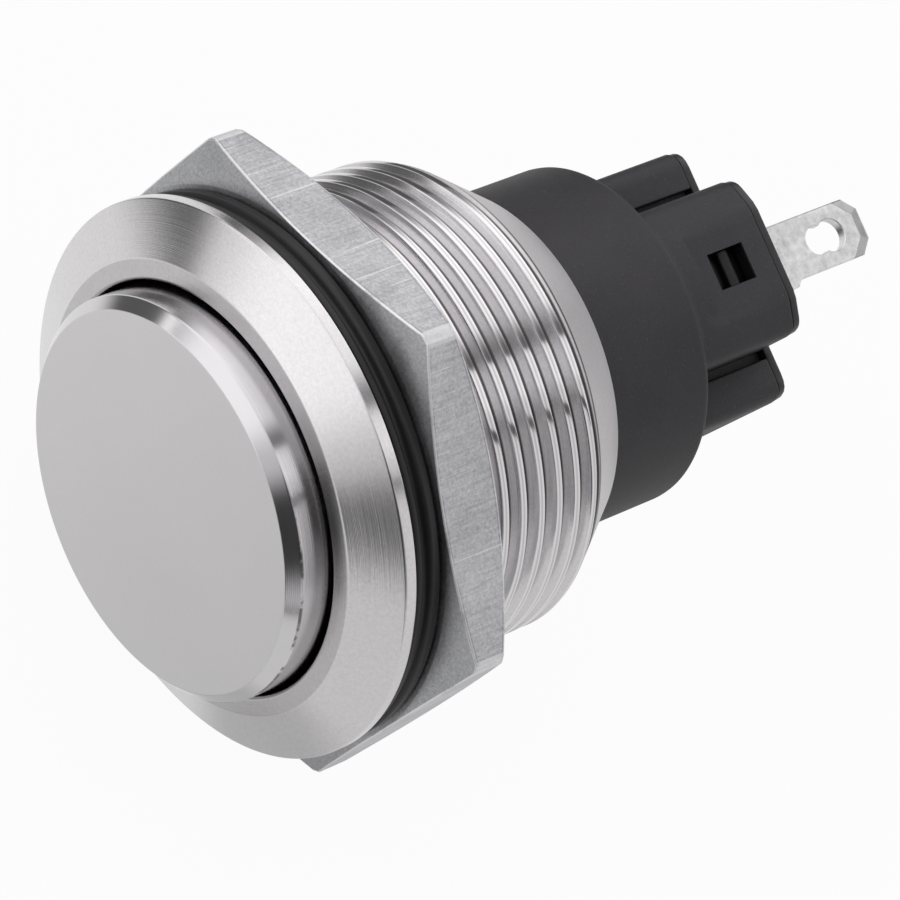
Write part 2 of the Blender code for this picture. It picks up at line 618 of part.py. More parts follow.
def make_contact_housing():
    """Moulded drum with a well for the plunger in front and a cross shaped tower behind."""
    groove_top = HOUSING_GROOVE_CENTRE + HOUSING_GROOVE_WIDTH / 2
    groove_bottom = HOUSING_GROOVE_CENTRE - HOUSING_GROOVE_WIDTH / 2
    lock_depth = LOCK_RADIUS - LOCK_WIDTH / 2
    shaft = SHAFT_RADIUS + RUNNING_GAP
    inside = DRUM_RADIUS - DRUM_WALL
    profile = [
        (WELL_RADIUS, WELL_FRONT),
        (DRUM_RADIUS, WELL_FRONT),
        (DRUM_RADIUS, LOCK_CENTRE + LOCK_WIDTH / 2),
        (lock_depth, LOCK_CENTRE + LOCK_WIDTH / 2),
        (lock_depth, LOCK_CENTRE - LOCK_WIDTH / 2),
        (DRUM_RADIUS, LOCK_CENTRE - LOCK_WIDTH / 2),
        (DRUM_RADIUS, groove_top),
        (HOUSING_GROOVE_RADIUS, groove_top),
        (HOUSING_GROOVE_RADIUS, groove_bottom),
        (DRUM_RADIUS, groove_bottom),
        (DRUM_RADIUS, -DRUM_REAR + DRUM_RIM),
        (DRUM_RADIUS - DRUM_RIM, -DRUM_REAR),
        (shaft, -DRUM_REAR),
        (shaft, -DRUM_REAR + REAR_WALL),
        (inside, -DRUM_REAR + REAR_WALL),
        (inside, WALL_BACK),
        (shaft, WALL_BACK),
        (shaft, WALL_FRONT),
        (WELL_RADIUS, WALL_FRONT),
    ]
    housing = turned("contact_housing", profile, ((0.045, 0.043, 0.046), 0.55, 0.0), closed=True)
    outline = cross_outline(HALF_UPRIGHT, HALF_CROSSBAR, HALF_HEIGHT, DRUM_RADIUS - TOWER_STEP)
    tower = extruded("tower", outline, TOWER_BACK, -DRUM_REAR + REAR_WALL / 2)
    soften(tower, TOWER_CORNER, 2, math.radians(50))
    combine(housing, tower, "UNION")
    inner = cross_outline(
        HALF_UPRIGHT - TOWER_WALL,
        HALF_CROSSBAR - TOWER_WALL,
        HALF_HEIGHT - TOWER_WALL,
        DRUM_RADIUS - TOWER_WALL,
    )
    hollow_top = -DRUM_REAR + REAR_WALL + RUNNING_GAP
    hollow = extruded("tower_hollow", inner, TOWER_BACK - MM, hollow_top)
    combine(housing, hollow, "DIFFERENCE")
    for side in (1.0, -1.0):
        label = "top" if side > 0 else "bottom"
        level = DRUM_RADIUS - TOWER_FLAT
        near, far = sorted((side * level, side * (level + MM)))
        low = (-HALF_UPRIGHT - MM, near, TOWER_BACK - MM)
        high = (HALF_UPRIGHT + MM, far, TOWER_BACK + TOWER_FLAT_LENGTH)
        combine(housing, boxed("tower_flat_" + label, low, high), "DIFFERENCE")
        near, far = sorted((side * HALF_HEIGHT, side * (DRUM_RADIUS + MM)))
        low = (-WINDOW_WIDTH / 2, near, WINDOW_BACK)
        high = (WINDOW_WIDTH / 2, far, WINDOW_BACK + WINDOW_LENGTH)
        combine(housing, boxed("latch_window_" + label, low, high), "DIFFERENCE")
        near, far = sorted((side * (HALF_HEIGHT - RELIEF_DEPTH), side * (HALF_HEIGHT + MM)))
        for across in (1.0, -1.0):
            left, right = sorted((across * HALF_UPRIGHT, across * (HALF_UPRIGHT + RELIEF_WIDTH)))
            low = (left, near, TOWER_BACK - MM)
            high = (right, far, -DRUM_REAR)
            name = "relief_" + label + ("_right" if across > 0 else "_left")
            combine(housing, boxed(name, low, high), "DIFFERENCE")
    return housing


def make_lock_ring():
    """Split wire ring that sits half in the sleeve and half in the drum."""
    half = LOCK_MOUTH_DEG / 2
    ring = arc((0.0, 0.0), LOCK_RADIUS, -90.0 + half, 270.0 - half, 44)
    points = [(x, y, LOCK_CENTRE) for x, y in ring]
    return wire("housing_lock_ring", points, LOCK_WIRE / 2, ((0.5, 0.5, 0.5), 0.35, 1.0))


def make_terminal_base():
    """Plate that closes the tower, with a plug, two latches and slots for the terminals."""
    outline = cross_outline(
        HALF_UPRIGHT - PARTING_GAP,
        HALF_CROSSBAR - PARTING_GAP,
        HALF_HEIGHT - PARTING_GAP,
        DRUM_RADIUS - TOWER_FLAT - PARTING_GAP,
    )
    finish = ((0.04, 0.04, 0.043), 0.6, 0.0)
    base = extruded("terminal_base", outline, FLANGE_BACK, FLANGE_FRONT, finish)
    soften(base, BASE_FLANGE * 0.3)
    inset = TOWER_WALL + SEAT_GAP
    reach = DRUM_RADIUS - inset
    plug_outline = cross_outline(
        HALF_UPRIGHT - inset,
        HALF_CROSSBAR - inset,
        HALF_HEIGHT - inset,
        reach,
    )
    plug = extruded("base_plug", plug_outline, FLANGE_FRONT - BASE_FLANGE / 2, PLUG_FRONT)
    combine(base, plug, "UNION")
    catch = WINDOW_BACK + SEAT_GAP
    half_latch = WINDOW_WIDTH / 2 - SEAT_GAP
    turn = Matrix(((0, 0, 1, 0), (1, 0, 0, 0), (0, 1, 0, 0), (0, 0, 0, 1)))
    half_width = TERMINAL_WIDTH / 2 + SHOULDER_WIDTH + SEAT_GAP
    for side in (1.0, -1.0):
        label = "top" if side > 0 else "bottom"
        wedge = [
            (side * (reach - MM), catch),
            (side * (reach + LATCH_HEIGHT), catch),
            (side * (reach - SEAT_GAP), catch + LATCH_LENGTH),
            (side * (reach - MM), catch + LATCH_LENGTH),
        ]
        latch = extruded("latch_" + label, wedge, -half_latch, half_latch, turn=turn)
        combine(base, latch, "UNION")
        near, far = sorted((side * (BLADE_INNER - SEAT_GAP), side * (BLADE_OUTER + SEAT_GAP)))
        low = (-half_width, near, FLANGE_BACK - MM)
        slot = boxed("terminal_slot_" + label, low, (half_width, far, PLUG_FRONT + MM))
        combine(base, slot, "DIFFERENCE")
    return base


def make_terminal(name, side):
    """Stamped blade with a shoulder, a cut tip and an eye for the wire, bent inside to a foot."""
    half = TERMINAL_WIDTH / 2
    shoulder = FLANGE_BACK - SHOULDER_REACH
    outline = [
        (-half, FOOT_BACK),
        (-half, TIP + TERMINAL_TIP_CUT),
        (-half + TERMINAL_TIP_CUT, TIP),
        (half - TERMINAL_TIP_CUT, TIP),
        (half, TIP + TERMINAL_TIP_CUT),
        (half, shoulder),
        (half + SHOULDER_WIDTH, shoulder + SHOULDER_WIDTH),
        (half + SHOULDER_WIDTH, FOOT_BACK),
    ]
    turn = Matrix(((1, 0, 0, 0), (0, 0, side, 0), (0, 1, 0, 0), (0, 0, 0, 1)))
    finish = ((0.72, 0.71, 0.69), 0.42, 1.0)
    blade = extruded(name, outline, BLADE_INNER, BLADE_OUTER, finish, turn)
    near, far = sorted((side * BLADE_OUTER, side * FOOT_END))
    foot = boxed(name + "_foot", (-half, near, FOOT_BACK - TRIM), (half, far, FOOT_FRONT))
    combine(blade, foot, "UNION")
    eye_z = TIP + EYE_FROM_TIP
    back = arc((0.0, eye_z), EYE_END_DIAMETER / 2, 180.0, 360.0, 12)
    front = arc((0.0, eye_z + EYE_STRETCH), EYE_DIAMETER / 2, 0.0, 180.0, 12)
    eye = extruded(name + "_eye", back + front, BLADE_INNER - MM, BLADE_OUTER + MM, None, turn)
    combine(blade, eye, "DIFFERENCE")
    soften(blade, TERMINAL_EDGE, 1, math.radians(60))
    return blade


def make_contacts():
    """Silver contacts: one on each terminal foot, and one under each end of the bridge."""
    silver = ((0.80, 0.79, 0.77), 0.3, 1.0)
    names = {1.0: "top", -1.0: "bottom"}
    for side, label in names.items():
        fixed = disc_profile(CONTACT_RADIUS, FIXED_CONTACT_FACE, FIXED_CONTACT_BACK)
        moving = disc_profile(CONTACT_RADIUS, MOVING_CONTACT_TOP, MOVING_CONTACT_FACE)
        for kind, profile in (("fixed_contact_", fixed), ("moving_contact_", moving)):
            rivet = turned(kind + label, profile, silver, steps=SMALL_STEPS)
            rivet.location = (0.0, side * CONTACT_OFFSET, 0.0)


def make_contact_bridge():
    """Brass strip that joins the two fixed contacts when the button is pressed."""
    half_width = BRIDGE_HOLE_RADIUS + BRIDGE_WEB
    half_length = CONTACT_OFFSET + CONTACT_RADIUS
    low = (-half_width, -half_length, BRIDGE_BACK)
    high = (half_width, half_length, BRIDGE_FRONT)
    bridge = boxed("contact_bridge", low, high, ((0.70, 0.52, 0.25), 0.3, 1.0))
    through = (BRIDGE_FRONT + RUNNING_GAP, BRIDGE_BACK - RUNNING_GAP)
    hole = turned("bridge_hole", disc_profile(BRIDGE_HOLE_RADIUS, *through), steps=SMALL_STEPS)
    combine(bridge, hole, "DIFFERENCE")
    return bridge


def make_plunger():
    """Plunger: a head under the stem, a guided shaft, a nose for the bridge and a spring pin."""
    profile = [
        (0.0, PLUNGER_TOP),
        (PLUNGER_HEAD_DIAMETER / 2, PLUNGER_TOP),
        (PLUNGER_HEAD_DIAMETER / 2, PLUNGER_HEAD_BACK),
        (SHAFT_RADIUS, PLUNGER_HEAD_BACK),
        (SHAFT_RADIUS, SHAFT_END),
        (NOSE_RADIUS, SHAFT_END),
        (NOSE_RADIUS, CATCH_FRONT),
        (CATCH_RADIUS, CATCH_FRONT),
        (CATCH_RADIUS, CATCH_BACK),
        (PIN_RADIUS, CATCH_BACK),
        (PIN_RADIUS, CATCH_BACK - PLUNGER_PIN),
        (0.0, CATCH_BACK - PLUNGER_PIN),
    ]
    return turned("plunger", profile, ((0.75, 0.73, 0.68), 0.5, 0.0), steps=32)


def make_spring(name, radius, wire_diameter, turns, top, bottom):
    """A coil spring between two seats, with a seat gap at each end."""
    points = coil(radius, top - SEAT_GAP, bottom + SEAT_GAP, turns, wire_diameter)
    return wire(name, points, wire_diameter / 2, ((0.55, 0.55, 0.55), 0.3, 1.0))


def make_springs():
    """Return spring under the crown, contact spring on the nose, and spring under the plunger."""
    make_spring(
        "return_spring",
        RETURN_SPRING_RADIUS,
        RETURN_SPRING_WIRE,
        RETURN_SPRING_TURNS,
        CEILING,
        GUIDE_FRONT,
    )
    make_spring(
        "contact_spring",
        CONTACT_SPRING_RADIUS,
        CONTACT_SPRING_WIRE,
        CONTACT_SPRING_TURNS,
        SHAFT_END,
        BRIDGE_FRONT,
    )
    make_spring(
        "plunger_spring",
        PLUNGER_SPRING_RADIUS,
        PLUNGER_SPRING_WIRE,
        PLUNGER_SPRING_TURNS,
        CATCH_BACK,
        PLUG_FRONT,
    )


clear_scene()
parts = new_collection("vandal_resistant_push_button")
guides = new_collection("guides")
frame = bpy.data.objects.new("design_frame", None)
frame.rotation_euler = (math.pi / 2, 0.0, 0.0)
guides.objects.link(frame)
bpy.context.view_layer.update()

make_bezel_housing()
make_button_cap()
make_stem_clip()
make_rubber_rings()
make_panel_seal()
make_hex_nut()
make_contact_housing()
make_lock_ring()
make_terminal_base()
make_terminal("terminal_top", 1.0)
make_terminal("terminal_bottom", -1.0)
make_contacts()
make_contact_bridge()
make_plunger()
make_springs()
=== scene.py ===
# %% [markdown]
# A vandal resistant push button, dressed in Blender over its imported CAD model. The switch
# is about 39 mm long. Its button faces -Y, its terminals point along +Y, and the top of the
# contact housing faces +Z. Lengths in this file are written in millimetres and turned into
# metres where a mesh is made, because the pieces are small.

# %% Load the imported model
import math

import bmesh
import bpy
import numpy as np
from mathutils import Matrix, Vector


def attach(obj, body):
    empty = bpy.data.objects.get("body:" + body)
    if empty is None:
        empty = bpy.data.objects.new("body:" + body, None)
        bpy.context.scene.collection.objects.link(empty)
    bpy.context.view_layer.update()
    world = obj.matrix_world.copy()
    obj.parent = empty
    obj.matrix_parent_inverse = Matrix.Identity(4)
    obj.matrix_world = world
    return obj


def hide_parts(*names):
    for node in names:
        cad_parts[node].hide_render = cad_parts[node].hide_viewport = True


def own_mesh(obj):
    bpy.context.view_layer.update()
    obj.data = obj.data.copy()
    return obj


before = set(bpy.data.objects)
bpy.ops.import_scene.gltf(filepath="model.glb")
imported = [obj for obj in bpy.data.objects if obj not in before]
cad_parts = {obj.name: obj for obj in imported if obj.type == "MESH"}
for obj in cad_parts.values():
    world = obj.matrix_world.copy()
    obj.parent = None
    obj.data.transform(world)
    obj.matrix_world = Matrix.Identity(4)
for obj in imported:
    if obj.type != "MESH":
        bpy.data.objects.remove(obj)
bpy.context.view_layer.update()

MM = 0.001
print("nodes:", len(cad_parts))

# %% [markdown]
# Most of this switch is turned on a lathe, so most of its surfaces are a profile carried
# round the axis. A profile here is a list of (radius, y) points. Real turned edges are never
# knife sharp: a tiny round on each one catches the light. The round is a quadratic Bezier
# curve from a point a little before the corner to a point a little after it, which is one
# formula for every corner at once.

# %% Round the corners of a profile


def rounded(points, reach=0.06, steps=3, closed=True):
    """Each corner B becomes (1-t)^2 A + 2t(1-t) B + t^2 C, with A and C up to reach away
    along its two edges, and never past 0.45 of an edge. One more point past A and past C
    keeps the flat faces shading flat. An open line keeps its ends."""
    points = np.asarray(points, float)
    before = np.roll(points, 1, 0) - points
    after = np.roll(points, -1, 0) - points
    cut = np.broadcast_to(np.asarray(reach, float), (len(points),))
    lengths = np.linalg.norm(before, axis=1), np.linalg.norm(after, axis=1)

    def away(side, length, factor, limit):
        return points + side * (np.minimum(cut * factor, limit * length) / length)[:, None]

    near, far = away(before, lengths[0], 1.0, 0.45), away(after, lengths[1], 1.0, 0.45)
    guards = away(before, lengths[0], 1.4, 0.48), away(after, lengths[1], 1.4, 0.48)
    t = np.linspace(0, 1, steps + 1)[None, :, None]
    curve = (1 - t) ** 2 * near[:, None] + 2 * t * (1 - t) * points[:, None] + t**2 * far[:, None]
    curve = np.concatenate([guards[0][:, None], curve, guards[1][:, None]], 1)
    if closed:
        return curve.reshape(-1, curve.shape[2])
    middle = curve[1:-1].reshape(-1, curve.shape[2])
    return np.vstack([points[:1], middle, points[-1:]])


print("a square's rounded corner has", len(rounded([(0, 0), (1, 0), (1, 1), (0, 1)])) // 4, "points")

# %% [markdown]
# A grid of points becomes a mesh with one face for each cell. Where a grid closes on itself,
# its first and last lines lie on the same points, and merging them closes the seam. The same
# merge takes away cells that have shrunk to nothing, such as those round a pole. Edges sharper
# than a set angle are marked, so that curved parts shade smoothly and real edges stay crisp.

# %% Turn a grid of points into a piece


def finish_mesh(name, mesh, crease=32.0):
    """Merges doubles, turns faces outwards, and shades smooth up to the crease angle."""
    shape = bmesh.new()
    shape.from_mesh(mesh)
    bmesh.ops.remove_doubles(shape, verts=shape.verts, dist=1e-7)
    bmesh.ops.dissolve_degenerate(shape, edges=shape.edges, dist=1e-8)
    bmesh.ops.recalc_face_normals(shape, faces=shape.faces)
    shape.to_mesh(mesh)
    open_edges = sum(1 for edge in shape.edges if len(edge.link_faces) != 2)
    shape.free()
    mesh.shade_smooth()
    mesh.set_sharp_from_angle(angle=math.radians(crease))
    piece = bpy.data.objects.new(name, mesh)
    bpy.context.scene.collection.objects.link(piece)
    print(name, len(mesh.polygons), "faces,", open_edges, "open edges")
    return piece


def grid_piece(name, points, crease=32.0, caps=False):
    """points[row, column] in millimetres; each cell of the grid is a face. With caps, the
    first and last rows are closed by one flat face each."""
    rows, columns = points.shape[:2]
    index = np.arange(rows * columns).reshape(rows, columns)
    corners = (index[:-1, :-1], index[:-1, 1:], index[1:, 1:], index[1:, :-1])
    faces = np.stack(corners, -1).reshape(-1, 4).tolist()
    if caps:
        faces += [index[0, :-1].tolist(), index[-1, :-1].tolist()]
    mesh = bpy.data.meshes.new(name)
    mesh.from_pydata((points.reshape(-1, 3) * MM).tolist(), [], faces)
    return finish_mesh(name, mesh, crease)


def turn(profile, columns=192):
    """Carries (radius, y) points round the axis: x = r sin u, y = y, z = r cos u."""
    profile = np.asarray(profile, float)
    u = np.linspace(0, math.tau, columns + 1)
    radius, along = profile[:, 0][:, None], profile[:, 1][:, None]
    return np.stack([radius * np.sin(u), along + 0 * u, radius * np.cos(u)], -1)


def looped(profile):
    """Repeats a profile's first point at its end, so that its surface closes."""
    return np.vstack([profile, profile[:1]])


# %% [markdown]
# A plastic moulding is easiest to cut the way its mould tool is cut: a plain form, and blocks
# that leave windows and slots. A Boolean modifier does that here, and its result replaces the
# piece's mesh, so nothing is left live on it.

# %% Join and cut pieces


def combine(piece, other, operation, crease=40.0):
    """Joins or cuts a piece with another, keeps the result bare, and removes the other."""
    change = piece.modifiers.new("cut", "BOOLEAN")
    change.operation = operation
    change.object = other
    change.solver = "EXACT"
    evaluated = piece.evaluated_get(bpy.context.evaluated_depsgraph_get())
    mesh = bpy.data.meshes.new_from_object(evaluated)
    mesh.materials.clear()
    piece.modifiers.clear()
    piece.data = mesh
    bpy.data.objects.remove(other)
    mesh.shade_smooth()
    mesh.set_sharp_from_angle(angle=math.radians(crease))
    return piece


def loft(rings):
    """rings[row, column] of closed outlines, with each outline's first point repeated."""
    return np.concatenate([rings, rings[:, :1]], 1)


def block(name, low, high):
    """A box between two corners, as four outlines of a loft with caps."""
    (x0, y0, z0), (x1, y1, z1) = low, high
    square = np.array([(x0, z0), (x1, z0), (x1, z1), (x0, z1)])
    rings = [np.stack([square[:, 0], np.full(4, y), square[:, 1]], -1) for y in (y0, y1)]
    return grid_piece(name, loft(np.array(rings)), caps=True)


# %% [markdown]
# This small class wraps the output of a shader node, so that shader maths reads as maths. Its
# operators add Math nodes, also when the number comes first, as in 1 - mask.

# %% A class for shader expressions


class Value:
    """The output of a node, with arithmetic that adds Math nodes to the same tree."""

    def __init__(self, tree, socket=None):
        self.tree = tree
        self.socket = socket

    def node(self, kind, settings=None, inputs=None, output=0):
        """Adds a node: its settings first, then the value or link of each named socket."""
        made = self.tree.nodes.new("ShaderNode" + kind)
        for name, value in (settings or {}).items():
            setattr(made, name, value)
        for name, value in (inputs or {}).items():
            if isinstance(value, Value):
                self.tree.links.new(value.socket, made.inputs[name])
            else:
                made.inputs[name].default_value = value
        return Value(self.tree, made.outputs[output])

    def math(self, operation, *values):
        """A Math node on the values given."""
        return self.node("Math", {"operation": operation}, dict(enumerate(values)))

    def __add__(self, other):
        return self.math("ADD", self, other)

    def __radd__(self, other):
        return self.math("ADD", other, self)

    def __sub__(self, other):
        return self.math("SUBTRACT", self, other)

    def __rsub__(self, other):
        return self.math("SUBTRACT", other, self)

    def __mul__(self, other):
        return self.math("MULTIPLY", self, other)

    def __rmul__(self, other):
        return self.math("MULTIPLY", other, self)

    def __truediv__(self, other):
        return self.math("DIVIDE", self, other)

    def absolute(self):
        """This value without its sign."""
        return self.math("ABSOLUTE", self)

    def vector(self, operation, *values, output=0):
        """A Vector Math node on this vector and the others."""
        inputs = dict(enumerate((self, *values)))
        return self.node("VectorMath", {"operation": operation}, inputs, output)

    def scaled(self, factor):
        """This vector times a number."""
        return self.node("VectorMath", {"operation": "SCALE"}, {0: self, "Scale": factor})

    def parts(self):
        """The x, y and z of this vector."""
        split = self.node("SeparateXYZ", None, {0: self})
        outputs = split.socket.node.outputs
        return [Value(self.tree, outputs[name]) for name in "XYZ"]

    def joined(self, x, y, z):
        """A vector of three numbers."""
        return self.node("CombineXYZ", None, {0: x, 1: y, 2: z})

    def step(self, low, high, smooth=True):
        """0 below low, 1 above high, and a smooth rise between; low above high falls."""
        kind = "SMOOTHSTEP" if smooth else "LINEAR"
        ends = {"Value": self, "From Min": low, "From Max": high}
        return self.node("MapRange", {"interpolation_type": kind, "clamp": True}, ends)

    def mixed(self, first, second):
        """A colour between two, with this value as the factor."""
        return self.node("Mix", {"data_type": "RGBA"}, {0: self, 6: first, 7: second}, 2)

    def noise(self, where, scale, detail=2.0, roughness=0.5, dimensions="3D"):
        """Smooth noise from 0 to 1 at a place, with scale features to each unit."""
        inputs = {"Vector": where, "Scale": scale, "Detail": detail, "Roughness": roughness}
        return self.node("TexNoise", {"noise_dimensions": dimensions}, inputs)

    def bump(self, strength, distance):
        """The normal of a surface with this relief, up to distance high in metres."""
        return self.node("Bump", None, {"Strength": strength, "Distance": distance, "Height": self})


def new_material(name):
    """A material with a bare Principled shader, and a Value to build its expressions on."""
    made = bpy.data.materials.new(name)
    made.use_nodes = True
    start = Value(made.node_tree)
    return made, start, made.node_tree.nodes["Principled BSDF"]


def surface(start, shader, colour, roughness, normal, metallic=1.0):
    """Joins three Values to the shader, and says whether it is a metal."""
    for socket, value in {"Base Color": colour, "Roughness": roughness, "Normal": normal}.items():
        start.tree.links.new(value.socket, shader.inputs[socket])
    shader.inputs["Metallic"].default_value = metallic


def measured(start):
    """The place on the object as a vector in metres, and then its x, y and z in millimetres."""
    place = start.node("TexCoord", None, None, 3)
    return place, *(part / MM for part in place.parts())


def from_axis(x, z):
    """The distance from the switch's axis, sqrt(x^2 + z^2)."""
    return x.joined(x, 0.0, z).vector("LENGTH", output=1)


print("shader class ready")

# %% [markdown]
# Turning leaves a fine spiral of grooves, so a turned face reflects a wide blur across its
# grooves and a sharp picture along them. That gives the fans of light on the bezel. Here the
# normal is tilted across the grooves, by a slope that changes from groove to groove. The
# groove number is the distance from the axis plus the distance along it, and the direction
# across the grooves is square to both the normal and the circle about the axis.

# %% Turned steel


def turned_normal(start, tilt, pitch):
    """N + across * slope, made unit length: across = around x N, where around = (z, 0, -x) runs
    round the axis, and slope is noise of the groove number, from -tilt to +tilt."""
    place, x, y, z = measured(start)
    radius = from_axis(x, z)
    normal = Value(start.tree, place.socket.node.outputs["Normal"])
    around = start.joined(z, 0.0, -1 * x).vector("NORMALIZE")
    across = around.vector("CROSS_PRODUCT", normal).vector("NORMALIZE")
    groove = start.joined((radius + y) / pitch, 0.0, 0.0)
    slope = (start.noise(groove, 1.0, 1.0, 0.6, "2D") - 0.5) * 2.0 * tilt
    bent = normal.vector("ADD", across.scaled(slope)).vector("NORMALIZE")
    space = {"vector_type": "NORMAL", "convert_from": "OBJECT", "convert_to": "WORLD"}
    return start.node("VectorTransform", space, {"Vector": bent})


def steel(name, shade, roughness, tilt, pitch=0.05):
    """Stainless steel turned on a lathe, with faint streaks round the axis. The cone at the rear and
    the ring round the bore are duller, and the ring is also darker, a painted shade. The thread's
    crests are burnished, so glossier, and their lighter colour is a painted highlight; a dark line
    along their middle, where y / pitch - u / (one turn) is whole, is a painted reflection. Painted
    shade darkens the thread's roots.
    Where the cone begins, y + 0.68 radius tells it from the thread's roots beside it."""
    made, start, shader = new_material(name)
    place, x, y, z = measured(start)
    radius = from_axis(x, z)
    cone = y.step(TAPER_START - 0.06, TAPER_START + 0.24)
    cone = cone * (y + radius * 0.68).step(18.62, 18.72)
    thread_zone = y.step(0.05, 0.10) * y.step(12.15, 12.10)
    # Painted shade: the thread's roots are darkened where the crests hide them from the light.
    root_shade = thread_zone * radius.step(ROOT + 0.10, ROOT + 0.015)
    crest = thread_zone * radius.step(CREST - 0.03, CREST - 0.01)
    phase = y / PITCH - THREAD_PHASE - start.math("ARCTAN2", x, z) / math.tau
    from_middle = start.math("FRACT", phase + 0.5) - 0.5
    # Painted reflection: a dark line along the middle of each crest.
    line = crest * from_middle.absolute().step(0.075, 0.03)
    # Painted shade: the land round the bore is darker, shaded by the raised button.
    land = y.step(LAND_FRONT + 0.06, LAND_FRONT)
    land = land * radius.step(LAND_RADIUS + 0.02, LAND_RADIUS - 0.02)
    rings = start.joined((radius + y) * 4.0, 0.0, 0.0)
    streak = start.noise(rings, 1.0, 3.0, 0.6, "2D")
    cloud = start.noise(place, 300.0, 3.0, 0.6)
    speck = start.noise(place, 6500.0, 3.0, 0.75)
    worn = (streak - 0.5) * 0.06 + (cloud - 0.5) * 0.25 + (speck - 0.5) * 1.1 + 0.5
    dark = tuple(c * 0.86 for c in shade)
    light = tuple(min(1.0, c * 1.14) for c in shade)
    colour = worn.mixed((*dark, 1.0), (*light, 1.0))
    # Painted highlight: the crests' colour is lighter, on top of their burnished gloss.
    colour = (crest * 0.6).mixed(colour, (0.83, 0.81, 0.815, 1.0))
    colour = (root_shade * 0.85 + land * 0.22 + line * 0.27).mixed(colour, (0.03, 0.028, 0.026, 1.0))
    gloss = (cloud - 0.5) * 0.10 + roughness + (cone * 0.28 + land * 0.10 - crest * 0.08)
    normal = turned_normal(start, tilt * (1 - cone * 0.8 - crest * 0.7), pitch)
    surface(start, shader, colour, gloss, normal)
    return made


# %% [markdown]
# The button's flat face is not turned but blasted with fine beads, which leaves an even,
# grainy grey. The chamfer round it is turned. One material does both: a mask that is 1 on the
# flat face and 0 elsewhere mixes the two finishes.

# %% Blasted and turned button steel
BUTTON_FRONT = -3.72
CROWN_RADIUS = 8.515
CHAMFER_BACK = -3.20


def button_steel():
    """Blasted on the crown's flat face, and turned elsewhere. A broken line of grime lies along
    the chamfer's outer edge, on the +x side."""
    made, start, shader = new_material("button_steel")
    place, x, y, z = measured(start)
    radius = from_axis(x, z)
    crown = radius.step(CROWN_RADIUS + 0.045, CROWN_RADIUS - 0.015)
    face = crown * y.step(BUTTON_FRONT + 0.06, BUTTON_FRONT + 0.01)
    grain = start.noise(place, 9000.0, 3.0, 0.7)
    cloud = start.noise(place, 220.0, 3.0, 0.5)
    sides = {0: face, 4: turned_normal(start, 0.13, 0.03), 5: grain.bump(0.25, 0.00001)}
    bent = start.node("Mix", {"data_type": "VECTOR"}, sides, 1)
    smudge = start.noise(place, 700.0, 4.0, 0.75)
    past = y - CHAMFER_BACK
    rim = past.step(-0.07, -0.02) * past.step(0.12, 0.04)
    grime = rim * smudge.step(0.42, 0.56) * x.step(1.0, 5.0) * 0.8
    tone = (cloud - 0.5) * 0.25 + (grain - 0.5) * 0.35 + 0.5
    colour = tone.mixed((0.60, 0.59, 0.60, 1.0), (0.74, 0.725, 0.735, 1.0))
    colour = grime.mixed(colour, (0.05, 0.045, 0.042, 1.0))
    surface(start, shader, colour, face * 0.24 + 0.15, bent)
    return made


BUTTON_STEEL = button_steel()
print(BUTTON_STEEL.name)

# %% [markdown]
# The nut is milled from hexagon bar. Its flats keep the long scratches of drawing and of the
# spanner, which run along the axis, and a few of them shine. The scratches are noise that is
# stretched along the axis, so they are thin across it and long along it. The nut's sizes are
# named here, because the material needs them to find its flats, edges and corners.

# %% Satin nut steel
NUT_FRONT = 1.58
NUT_BACK = 4.48
NUT_FLAT = 12.55
NUT_CORNER = 14.37
NUT_BORE = 10.95
NUT_TURN = math.radians(4.6)
FRONT_SLOPE = math.tan(math.radians(16.5))
BACK_SLOPE = math.tan(math.radians(25))


